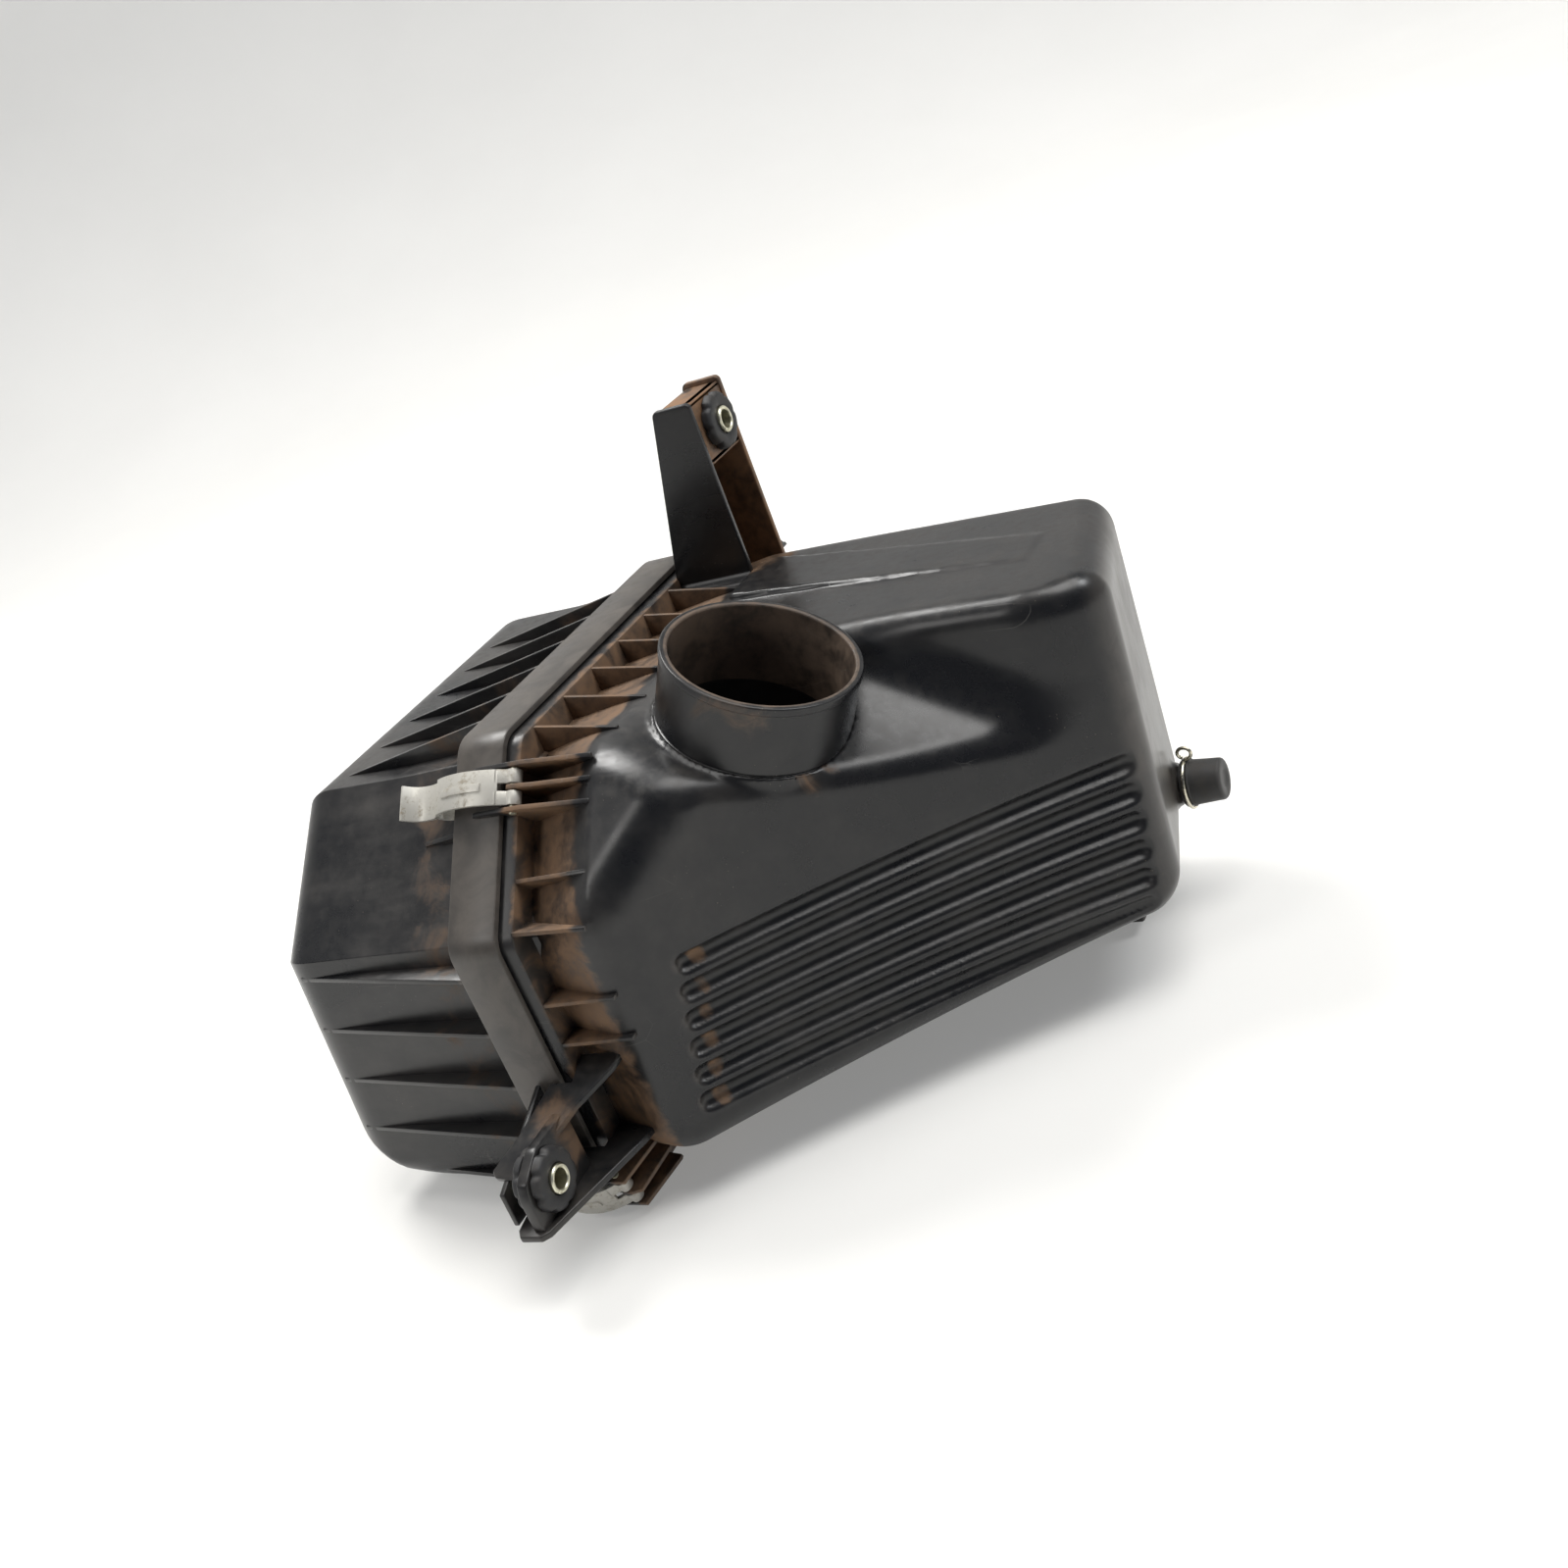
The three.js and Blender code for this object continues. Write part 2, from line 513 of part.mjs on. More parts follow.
function lowerBracket() {
  const { web, lowerBottom } = BRACKET;
  const { x, y, z } = LOWER_EYE;
  const fall = at(0, -0.929, -0.371).normalize(); // the way the top web runs
  const across = new THREE.Vector3().crossVectors(AXIS_X, fall);
  const outline = [[7, 7], [7, -6], [28, -6], [25, 1.6], [12.7, 18.4], [5, 34.6], [-1, 48],
    [-5, 50.5], [-16, 49], [-18.5, 46], [-11, 30], [-4, 8], [-4, 7]];
  const top = prism(outline, web, AXIS_X, fall, across, at(0, 5, -125.6));
  const foot = [[7, -0.8], [7, SKIRT.inset + 3], [27, SKIRT.inset + 3], [25, 3], [9, -52], [6, -55],
    [-4, -55], [-7, -51], [-14, -8], [-14, -0.8]];
  const bottom = prismZ(foot, lowerBottom - web / 2, lowerBottom + web / 2);
  const back = prismX([[-0.8, lowerBottom], [-0.8, -129], [-47, -147.5], [-47, lowerBottom]], -12, -9.5);
  const face = [[-12, lowerBottom], [-12, -133.5], [-37, -133.5], [-50, -140], [-52.5, -147], [-52.5, lowerBottom]];
  const eye = prismX(face, x, x + GROMMET.plate);
  const hole = rod(at(-20, y, z), at(x + 20, y, z), GROMMET.neck + GAP, 24);
  const clear = rod(at(-20, y, z), at(x, y, z), GROMMET.outer + 0.8, 24);
  const roomForGrommet = rod(at(x + GROMMET.plate, y, z), at(x + 12, y, z), GROMMET.outer + 0.8, 24);
  return cut(join(cut(top, roomForGrommet, clear), bottom, back, eye), hole, roomForGrommet);
}

// A long low strip along the top, highest beside the bracket and gone near the end wall.
function topStrip() {
  const outline = [[44, 190], [62, 189], [149, 183], [189, 183], [185, 207], [44, 231]];
  const above = beyond(at(0.053, 0, 1).normalize(), at(44, 0, -7.4));
  return cut(prismZ(outline, -BODY_INSETS.top - 8, 0), above);
}

function mainCase() {
  const flange = prismX(rim(even(FLANGE.inset)), FLANGE.from, FLANGE.to);
  const clips = Object.entries(STATIONS).map(([name, place]) => clipPlates(place, CLIP_BODY[name]));
  const inside = cut(bodySolid(WALL), grooveBars(GROOVE.radius + WALL, 6));
  const outside = cut(join(bodySolid(0), flange, topStrip(), ...pocketRibs()), grooveBars(GROOVE.radius, 8));
  const plates = clips.flatMap((clip) => clip.plates);
  const arms = [upperBracket(), lowerBracket(), ...plates, nipple()];
  const shell = cut(join(outside, ...arms), inside);
  const bore = outletTube(OUTLET.outer - OUTLET.wall, -OUTLET.length - 1, 1, 40);
  const drain = rod(at(180, NIPPLE.y, NIPPLE.z), at(NIPPLE.tip + 1, NIPPLE.y, NIPPLE.z), NIPPLE.bore, 16);
  return cut(join(shell, outlet()), bore, drain, ...clips.map((clip) => clip.hole));
}

// ---------------------------------------------------------------- filter element

function filterFrame() {
  const outer = prismX(rim(even(FILTER.frameInset)), -COVER.recess + GAP, FLANGE.from - GAP);
  return cut(outer, prismX(rim(even(FILTER.frameInner)), -COVER.recess - 1, 0));
}

// One sheet of paper folded to and fro, trimmed to the frame's opening.
function filterMedia() {
  const right = FLANGE.from - 2.5;
  const left = right - FILTER.depth;
  const first = FILTER.mediaInset + FILTER.paper;
  const folds = Math.floor((RIM.length - 2 * first) / (FILTER.pitch / 2));
  const half = FILTER.paper / 2;
  const pleats = [];
  for (let k = 0; k < folds; k++) {
    const y = first + (FILTER.pitch / 2) * k;
    const next = y + FILTER.pitch / 2;
    const [lower, upper] = k % 2 ? [next, y] : [y, next]; // at the right and left tips
    const outline = [[left, upper - half], [right, lower - half], [right, lower + half], [left, upper + half]];
    pleats.push(prismZ(outline, -RIM.height, 0));
  }
  const sheet = join(...pleats);
  return sheet.intersect(prismX(rim(even(FILTER.mediaInset)), left - 1, right + 1));
}

// The grid on the clean side that stops the pleats from being drawn into the outlet.
function filterGrid() {
  const from = FLANGE.from - 2.2;
  const to = FLANGE.from - 0.6;
  const plate = prismX(rim(even(FILTER.mediaInset)), from, to);
  const holes = [];
  const [cols, rows, bar] = [6, 4, 5];
  const pitchY = (RIM.length - 2 * FILTER.mediaInset - 8) / cols;
  const pitchZ = (RIM.height - 2 * FILTER.mediaInset - 8) / rows;
  const within = prismX(rim(even(FILTER.mediaInset + 5)), from - 1, to + 1);
  for (let i = 0; i < cols; i++) {
    for (let j = 0; j < rows; j++) {
      const y = FILTER.mediaInset + 4 + pitchY * i + bar / 2;
      const z = -FILTER.mediaInset - 4 - pitchZ * (j + 1) + bar / 2;
      const [w, h] = [pitchY - bar, pitchZ - bar];
      const box = prismX([[y, z], [y + w, z], [y + w, z + h], [y, z + h]], from - 1, to + 1);
      const hole = box.intersect(within);
      if (hole.volume() > 100) holes.push(hole);
    }
  }
  return cut(plate, ...holes);
}

// ---------------------------------------------------------------- clips and small parts

// A strip of even thickness that follows a line of [x, height] points.
function strip(place, line, width, thickness = CLIP.thickness) {
  const side = (sign) =>
    line.map(([x, h], i) => {
      const before = line[Math.max(i - 1, 0)];
      const after = line[Math.min(i + 1, line.length - 1)];
      const [dx, dh] = [after[0] - before[0], after[1] - before[1]];
      const scale = (sign * thickness) / 2 / Math.hypot(dx, dh);
      return [x - dh * scale, h + dx * scale];
    });
  const origin = place.point.clone().addScaledVector(place.along, width / 2);
  return ribbon(side(-1), side(1), width, AXIS_X, place.out, place.along.clone().negate(), origin);
}

const arc = (centreX, centreH, radius, fromDegrees, toDegrees, steps) =>
  Array.from({ length: steps + 1 }, (_, k) => {
    const angle = ((fromDegrees + ((toDegrees - fromDegrees) * k) / steps) * Math.PI) / 180;
    return [centreX + radius * Math.cos(angle), centreH + radius * Math.sin(angle)];
  });

function clip(place) {
  const { pinX, pinLift, pinRadius, thickness, width, ear } = CLIP;
  const curl = pinRadius + GAP + thickness / 2;
  const loop = arc(pinX, pinLift, curl, -140, 80, 8);
  const strap = [...loop, ...arc(-13, -27, 35, 58, 117, 9), [-33, -0.5], [-32.2, -2.6]];
  const hook = arc(-28.6, -2.2, 3.6, 168, 322, 6);
  const tab = [[-31, 0.6], [-36.5, -1.2], [-42, -1.4], [-47.5, 1.2], [-51, 5.6]];
  const slot = acrossRim(place, [[pinX - 5, -5], [pinX + 8, -5], [pinX + 8, 8], [pinX - 5, 8]], ear + 1.4);
  return cut(join(strip(place, strap, width), strip(place, hook, width), strip(place, tab, width)), slot);
}

function clipPin(place) {
  const { pinX, pinLift, pinRadius, earSpread, ear } = CLIP;
  const end = earSpread + ear / 2 + 0.6;
  const centre = place.point.clone().add(at(pinX, 0, 0)).addScaledVector(place.out, pinLift);
  const from = centre.clone().addScaledVector(place.along, -end);
  const to = centre.clone().addScaledVector(place.along, end);
  return rod(from, to, pinRadius, 16);
}

function grommet(eye) {
  const { outer, neck, lip, plate, lobes, lobe } = GROMMET;
  const left = -lip - GAP;
  const right = plate + lip + GAP;
  const bore = BUSH.outer + GAP;
  const profile = [[left, bore], [right, bore], [right, outer - 1.5], [right - 1.5, outer], [plate + GAP, outer],
    [plate + GAP, neck], [-GAP, neck], [-GAP, outer], [left + 1.5, outer], [left, outer - 1.5]];
  const ring = turnedAboutX(profile, eye.x, eye.y, eye.z, 24);
  const notches = [];
  for (let k = 0; k < lobes; k++) {
    const angle = (2 * Math.PI * (k + 0.5)) / lobes;
    const y = eye.y + (outer + 0.4) * Math.cos(angle);
    const z = eye.z + (outer + 0.4) * Math.sin(angle);
    notches.push(rod(at(eye.x + left - 1, y, z), at(eye.x + right + 1, y, z), lobe, 6));
  }
  return cut(ring, ...notches);
}

function bush(eye) {
  const { outer, bore, sides } = BUSH;
  const from = -GROMMET.lip - 1.5;
  const to = GROMMET.plate + GROMMET.lip + 1.5;
  return turnedAboutX([[from, bore], [to, bore], [to, outer], [from, outer]], eye.x, eye.y, eye.z, sides);
}

function drainCap() {
  const { y, z, outer, tip } = NIPPLE;
  const bore = outer + 0.8 + GAP;
  const back = 212.5;
  const end = tip + 4.5;
  const profile = [[back, bore], [tip + GAP, bore], [tip + GAP, 0], [end, 0], [end, 8.2], [end - 1.5, 9.7],
    [back + 3.4, 10.8], [back + 3.4, 10], [back + 1.2, 10], [back + 1.2, 10.8], [back, 10.8]];
  const open = profile.map(([along, radius]) => new THREE.Vector2(radius, along));
  const ordered = [...open.slice(3), ...open.slice(0, 3)];
  const geometry = new THREE.LatheGeometry(ordered, 28);
  geometry.rotateZ(-Math.PI / 2);
  geometry.translate(0, y, z);
  return toSolid(geometry);
}

// A wire ring in the cap's groove, with a round loop standing on top.
function drainClamp() {
  const x = 214.8;
  const wireRadius = 0.8;
  const ringRadius = 10 + GAP + wireRadius;
  const ring = new THREE.TorusGeometry(ringRadius, wireRadius, 6, 24);
  ring.rotateY(Math.PI / 2);
  ring.translate(x, NIPPLE.y, NIPPLE.z);
  const loop = new THREE.TorusGeometry(3, wireRadius, 6, 12);
  loop.rotateX(Math.PI / 2);
  loop.translate(x + 1.2, NIPPLE.y, NIPPLE.z + ringRadius + 3.6);
  return join(toSolid(ring), toSolid(loop));
}

function inletSeal() {
  const ring = cut(prismX(oval(WALL + 8), inletFace, inletFace + 8), prismX(oval(WALL + GAP), inletFace - 1, inletFace + 9));
  return ring;
}

// ---------------------------------------------------------------- assembly

const housing = new THREE.Group();

function place(name, solid, material) {
  const mesh = new THREE.Mesh(toGeometry(solid), material);
  mesh.name = name;
  housing.add(mesh);
}

place('main_case', mainCase(), plastic);
place('end_cover', endCover(), plastic);
place('filter_frame', filterFrame(), rubber);
place('filter_media', filterMedia(), paper);
place('filter_grid', filterGrid(), plastic);
for (const [name, spot] of Object.entries(STATIONS)) {
  place(`clip_${name}`, clip(spot), clipSteel);
  place(`clip_pin_${name}`, clipPin(spot), zinc);
}
place('grommet_upper', grommet(UPPER_EYE), rubber);
place('grommet_lower', grommet(LOWER_EYE), rubber);
place('bush_upper', bush(UPPER_EYE), zinc);
place('bush_lower', bush(LOWER_EYE), zinc);
place('drain_cap', drainCap(), rubber);
place('drain_clamp', drainClamp(), wire);
place('inlet_seal', inletSeal(), foam);

const box = new THREE.Box3().setFromObject(housing);
housing.position.set(-(box.min.x + box.max.x) / 2, -(box.min.y + box.max.y) / 2, -box.min.z);

export default housing;
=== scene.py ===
"""Air filter housing: the looks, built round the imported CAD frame. Metres, +Z up.

Most shapes are worked out in millimetres in the housing's own frame: X = 0 is the parting
plane, Y = 0 the front of the cover's rim and Z = 0 its top. to_row() turns them into metres
in the row frame.
"""

import math

import bmesh
import bpy
import numpy as np
from mathutils import Matrix, Vector


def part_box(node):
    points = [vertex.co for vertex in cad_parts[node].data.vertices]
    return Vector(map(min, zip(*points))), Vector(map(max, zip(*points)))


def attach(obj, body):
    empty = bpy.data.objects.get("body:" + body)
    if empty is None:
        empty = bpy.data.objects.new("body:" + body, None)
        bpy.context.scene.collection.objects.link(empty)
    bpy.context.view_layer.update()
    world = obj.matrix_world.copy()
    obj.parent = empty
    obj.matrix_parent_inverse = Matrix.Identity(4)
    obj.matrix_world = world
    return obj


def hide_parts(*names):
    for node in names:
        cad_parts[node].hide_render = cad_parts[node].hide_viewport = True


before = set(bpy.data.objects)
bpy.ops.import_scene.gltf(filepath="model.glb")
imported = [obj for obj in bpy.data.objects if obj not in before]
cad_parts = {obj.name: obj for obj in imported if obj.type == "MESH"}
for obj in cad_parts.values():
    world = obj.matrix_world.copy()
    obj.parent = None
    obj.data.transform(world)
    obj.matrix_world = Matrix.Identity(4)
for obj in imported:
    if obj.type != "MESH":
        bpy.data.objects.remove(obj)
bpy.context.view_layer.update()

# ---------------- dimensions, in millimetres

WALL = 2.5
RIM = {"length": 262.0, "height": 201.0, "cut_y": 61.0, "cut_z": 63.0, "width": 24.0}
CORNER, CUT_CORNER = 25.0, 15.0
COVER = {"inset": 12.0, "bottom": 1.0, "draft": 2.0, "top": -128.0, "lean": 0.11, "round": 22.0,
         "low_along": 60.0, "low_up": 56.0, "recess": 20.0}
STRETCH_PARTS = (16, 20, 16, 16, 8)
SKIRT_INSET, SKIRT_TO, FLARE_END = 15.0, 8.0, 43.0
BODY_INSET = {"front": 4.0, "bottom": 23.0, "back": 10.0, "top": 10.0, "cut": 1.0}
FLANGE = {"inset": 3.5, "from": -3.0, "to": 6.5}
OUTLET_AXIS = np.array([0.484, 0.0, 0.875]) / math.hypot(0.484, 0.875)
OUTLET_RIM = np.array([105.0, 98.0, -1.0])
GROOVE = {"radius": 4.4, "sunk": 3.6, "first": -94.5, "pitch": -12.2, "count": 6,
          "left": 64.0, "step": 2.2, "right": 218.0}
OUTLET_R, OUTLET_WALL, OUTLET_LENGTH, LEDGE_DEPTH = 40.0, 2.8, 50.0, 33.0
NIPPLE = {"y": 216.0, "z": -147.0, "outer": 8.0, "bore": 5.0, "root": 190, "foot": 211, "tip": 226.0}
CLAMP = {"x": 214.8, "cap": 10.3, "wire": 0.8}
UPPER_EYE = (40.0, 235.5, 59.0)
LOWER_EYE = (2.0, -37.0, -148.0)
EYE_PLATE, EYE_HOLE, ARM_WEB = 5.0, 9.3, 3.0
UPPER_ARM = {"front": 217.0, "back": 251.0}
LOW_ARM_BOTTOM = -163.2
GROMMET_LIP = 4.2
INLET = {"y": 150.0, "z": -100.0, "half_y": 42.0, "half_z": 27.0, "round": 18.0, "length": 18.0}
CLIPS = ("front_upper", "front_lower", "back_upper", "back_lower")

# The row frame's origin in the housing's own frame, from two faces of the cover's rim.
_low, _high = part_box("end_cover")
ORIGIN = np.array([-_high.x * 1000, -_low.y * 1000, -_high.z * 1000])


def to_row(points):
    return (np.asarray(points, float) - ORIGIN) / 1000


def groove_z(k):
    return GROOVE["first"] + GROOVE["pitch"] * k


# ---------------- meshes


def link(name, data):
    """Makes an object of a mesh, camera or light and puts it in the scene."""
    obj = bpy.data.objects.new(name, data)
    bpy.context.collection.objects.link(obj)
    return obj


def add_mesh(name, points, faces, material, body, angle):
    mesh = bpy.data.meshes.new(name)
    mesh.from_pydata(to_row(points).tolist(), [], [tuple(map(int, f)) for f in faces])
    mesh.validate()
    bm = bmesh.new()
    bm.from_mesh(mesh)
    bmesh.ops.remove_doubles(bm, verts=bm.verts, dist=1e-6)
    bmesh.ops.recalc_face_normals(bm, faces=bm.faces)
    bm.to_mesh(mesh)
    bm.free()
    return add_object(name, mesh, material, body, angle)


def add_object(name, mesh, material, body, angle=None):
    obj = link(name, mesh)
    mesh.materials.clear()
    mesh.materials.append(material)
    mesh.shade_smooth()
    if angle:
        mesh.set_sharp_from_angle(angle=math.radians(angle))
    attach(obj, body)
    return obj


def bevel(obj, width, segments=2, angle=30):
    """Rounds the piece's edges; width in millimetres."""
    modifier = obj.modifiers.new("bevel", "BEVEL")
    modifier.width = width / 1000
    modifier.segments = segments
    modifier.limit_method = "ANGLE"
    modifier.angle_limit = math.radians(angle)
    modifier.harden_normals = False
    depsgraph = bpy.context.evaluated_depsgraph_get()
    mesh = bpy.data.meshes.new_from_object(obj.evaluated_get(depsgraph))
    obj.modifiers.clear()
    obj.data = mesh
    mesh.shade_smooth()
    mesh.set_sharp_from_angle(angle=math.radians(40))


class Build:
    """Collects closed shapes, in the housing's frame, for one piece."""

    def __init__(self):
        self.points = []
        self.faces = []

    def add(self, points, faces):
        start = len(self.points)
        self.points.extend(np.asarray(points, float).tolist())
        self.faces.extend([tuple(start + int(i) for i in f) for f in faces])

    def prism(self, outline, depth, origin, right, up, push):
        """An outline of (a, b) points pushed through a depth."""
        origin, right, up, push = (np.asarray(v, float) for v in (origin, right, up, push))
        base = [origin + a * right + b * up for a, b in outline]
        n = len(base)
        self.add(base + [p + depth * push for p in base],
                 [tuple(range(n))[::-1], tuple(range(n, 2 * n))]
                 + [(i, (i + 1) % n, n + (i + 1) % n, n + i) for i in range(n)])

    def prism_x(self, outline, start, end):
        self.prism(outline, end - start, (start, 0, 0), (0, 1, 0), (0, 0, 1), (1, 0, 0))

    def prism_y(self, outline, start, end):
        self.prism(outline, end - start, (0, start, 0), (1, 0, 0), (0, 0, 1), (0, 1, 0))

    def prism_z(self, outline, start, end):
        self.prism(outline, end - start, (0, 0, start), (1, 0, 0), (0, 1, 0), (0, 0, 1))

    def across_rim(self, place, outline, width, offset=0.0):
        """An outline of (x, height above the rim) points, as wide as given along the rim."""
        point, out, along = place
        origin = point + along * (offset - width / 2)
        self.prism(outline, width, origin, (1, 0, 0), out, along)

    def turned(self, profile, origin, axis, segments=48, radius=None):
        """A closed profile of (distance along, radius) turned about an axis."""
        axis = np.asarray(axis, float) / np.linalg.norm(axis)
        side = np.cross(axis, (0, 1, 0) if abs(axis[1]) < 0.9 else (1, 0, 0))
        side /= np.linalg.norm(side)
        other = np.cross(axis, side)
        rings = []
        for k in range(segments):
            turn = 2 * math.pi * k / segments
            direction = side * math.cos(turn) + other * math.sin(turn)
            sizes = [radius(r, turn) if radius else r for _, r in profile]
            rings.append([np.asarray(origin, float) + axis * along + direction * r
                          for (along, _), r in zip(profile, sizes)])
        self.rings(rings, close=True)

    def rings(self, rings, close=False):
        """Skins rings of equal counts; close joins the last ring to the first."""
        n = len(rings[0])
        points = [p for ring in rings for p in ring]
        faces = []
        count = len(rings)
        for r in range(count if close else count - 1):
            nxt = (r + 1) % count
            for i in range(n):
                j = (i + 1) % n
                faces.append((r * n + i, r * n + j, nxt * n + j, nxt * n + i))
        if not close:
            faces.append(tuple(range(n))[::-1])
            faces.append(tuple(range((count - 1) * n, count * n)))
        self.add(points, faces)

    def tube(self, path, radius, sides):
        """A round wire along a path of points."""
        path = [np.asarray(p, float) for p in path]
        rings, up = [], None
        for i, p in enumerate(path):
            before, after = path[max(i - 1, 0)], path[min(i + 1, len(path) - 1)]
            along = (after - before) / np.linalg.norm(after - before)
            if up is None:
                up = np.cross(along, (0.3, 0.5, 0.8))
            up = up - along * np.dot(up, along)
            up /= np.linalg.norm(up)
            other = np.cross(along, up)
            rings.append([p + a * up + b * other for a, b in ring_points((0, 0), radius, sides)])
        self.rings(rings)

    def make(self, name, material, body, angle=None):
        return add_mesh(name, self.points, self.faces, material, body, angle)


def arc(cx, cy, radius, start, end, steps):
    turns = np.radians(np.linspace(start, end, steps + 1))
    return [(cx + radius * math.cos(t), cy + radius * math.sin(t)) for t in turns]


def ring_points(centre, radius, count):
    return arc(*centre, radius, 0, 360, count)[:-1]


# ---------------- the rim outline


def rim_edges(inset):
    length = math.hypot(RIM["cut_y"], RIM["cut_z"])
    cut = (-RIM["cut_z"] / length, RIM["cut_y"] / length)
    low_corner = CORNER + max(0.0, inset["front"] - inset["bottom"])
    return [
        ((-1.0, 0.0), -inset["front"], low_corner),
        ((0.0, -1.0), RIM["height"] - inset["bottom"], low_corner),
        ((1.0, 0.0), RIM["length"] - inset["back"], CORNER),
        ((0.0, 1.0), -inset["top"], CUT_CORNER),
        (cut, -RIM["cut_z"] * RIM["cut_y"] / length - inset["cut"], CUT_CORNER),
    ]


def even(inset):
    return {side: inset for side in BODY_INSET}


def rim(inset, steps=12):
    """The rounded outline as (y, z) points, anticlockwise seen from +X."""
    insets = even(inset) if np.isscalar(inset) else inset
    edges = rim_edges(insets)
    points = []
    for i, (normal, reach, corner) in enumerate(edges):
        after, reach_after, _ = edges[(i + 1) % len(edges)]
        det = normal[0] * after[1] - normal[1] * after[0]
        cy = (reach * after[1] - reach_after * normal[1]) / det
        cz = (reach_after * normal[0] - reach * after[0]) / det
        r = max(corner - insets["front"], 1.0)
        start = math.atan2(normal[1], normal[0])
        sweep = (math.atan2(after[1], after[0]) - start) % (2 * math.pi)
        middle = start + sweep / 2
        back = r / math.cos(sweep / 2)
        first = math.degrees(start)
        points += arc(cy - back * math.cos(middle), cz - back * math.sin(middle), r,
                      first, first + math.degrees(sweep), steps)
    return subdivided(points)


def subdivided(points):
    """Adds points along the straight stretches, the same count whatever the inset."""
    full = []
    per_edge = len(points) // len(STRETCH_PARTS)
    for i, a in enumerate(points):
        b = points[(i + 1) % len(points)]
        full.append(a)
        if (i + 1) % per_edge == 0:
            parts = STRETCH_PARTS[i // per_edge]
            for k in range(1, parts):
                full.append((a[0] + (b[0] - a[0]) * k / parts, a[1] + (b[1] - a[1]) * k / parts))
    return full


def station(y, z, out_y, out_z):
    out = np.array([0.0, out_y, out_z])
    out /= np.linalg.norm(out)
    return np.array([0.0, y, z]), out, np.cross((1.0, 0, 0), out)


CUT_LENGTH = math.hypot(RIM["cut_y"], RIM["cut_z"])


def cut_station(s):
    return station(RIM["cut_y"] * (1 - s / CUT_LENGTH), -RIM["cut_z"] * s / CUT_LENGTH,
                   -RIM["cut_z"], RIM["cut_y"])


CUT_CLIP, BACK_CLIP_Z, LOW_CLIP_TURN = 23.8, -48, 0.38
LOW_Y, LOW_Z = math.cos(LOW_CLIP_TURN), math.sin(LOW_CLIP_TURN)
LOW_POINT = (CORNER * (1 - LOW_Y), CORNER * (1 - LOW_Z) - RIM["height"])
STATIONS = {
    "front_upper": cut_station(CUT_CLIP),
    "front_lower": station(*LOW_POINT, -LOW_Y, -LOW_Z),
    "back_upper": station(RIM["length"], BACK_CLIP_Z, 1, 0),
    "back_lower": station(RIM["length"] - LOW_POINT[0], LOW_POINT[1], LOW_Y, -LOW_Z),
}
# Where each clip's plates run into the body, and how far below the rim that is
CLIP_BODY = {"front_upper": (FLARE_END, 0.8), "front_lower": (23, 17), "back_upper": (FLARE_END, 10),
             "back_lower": (36, 19)}

# ---------------- materials


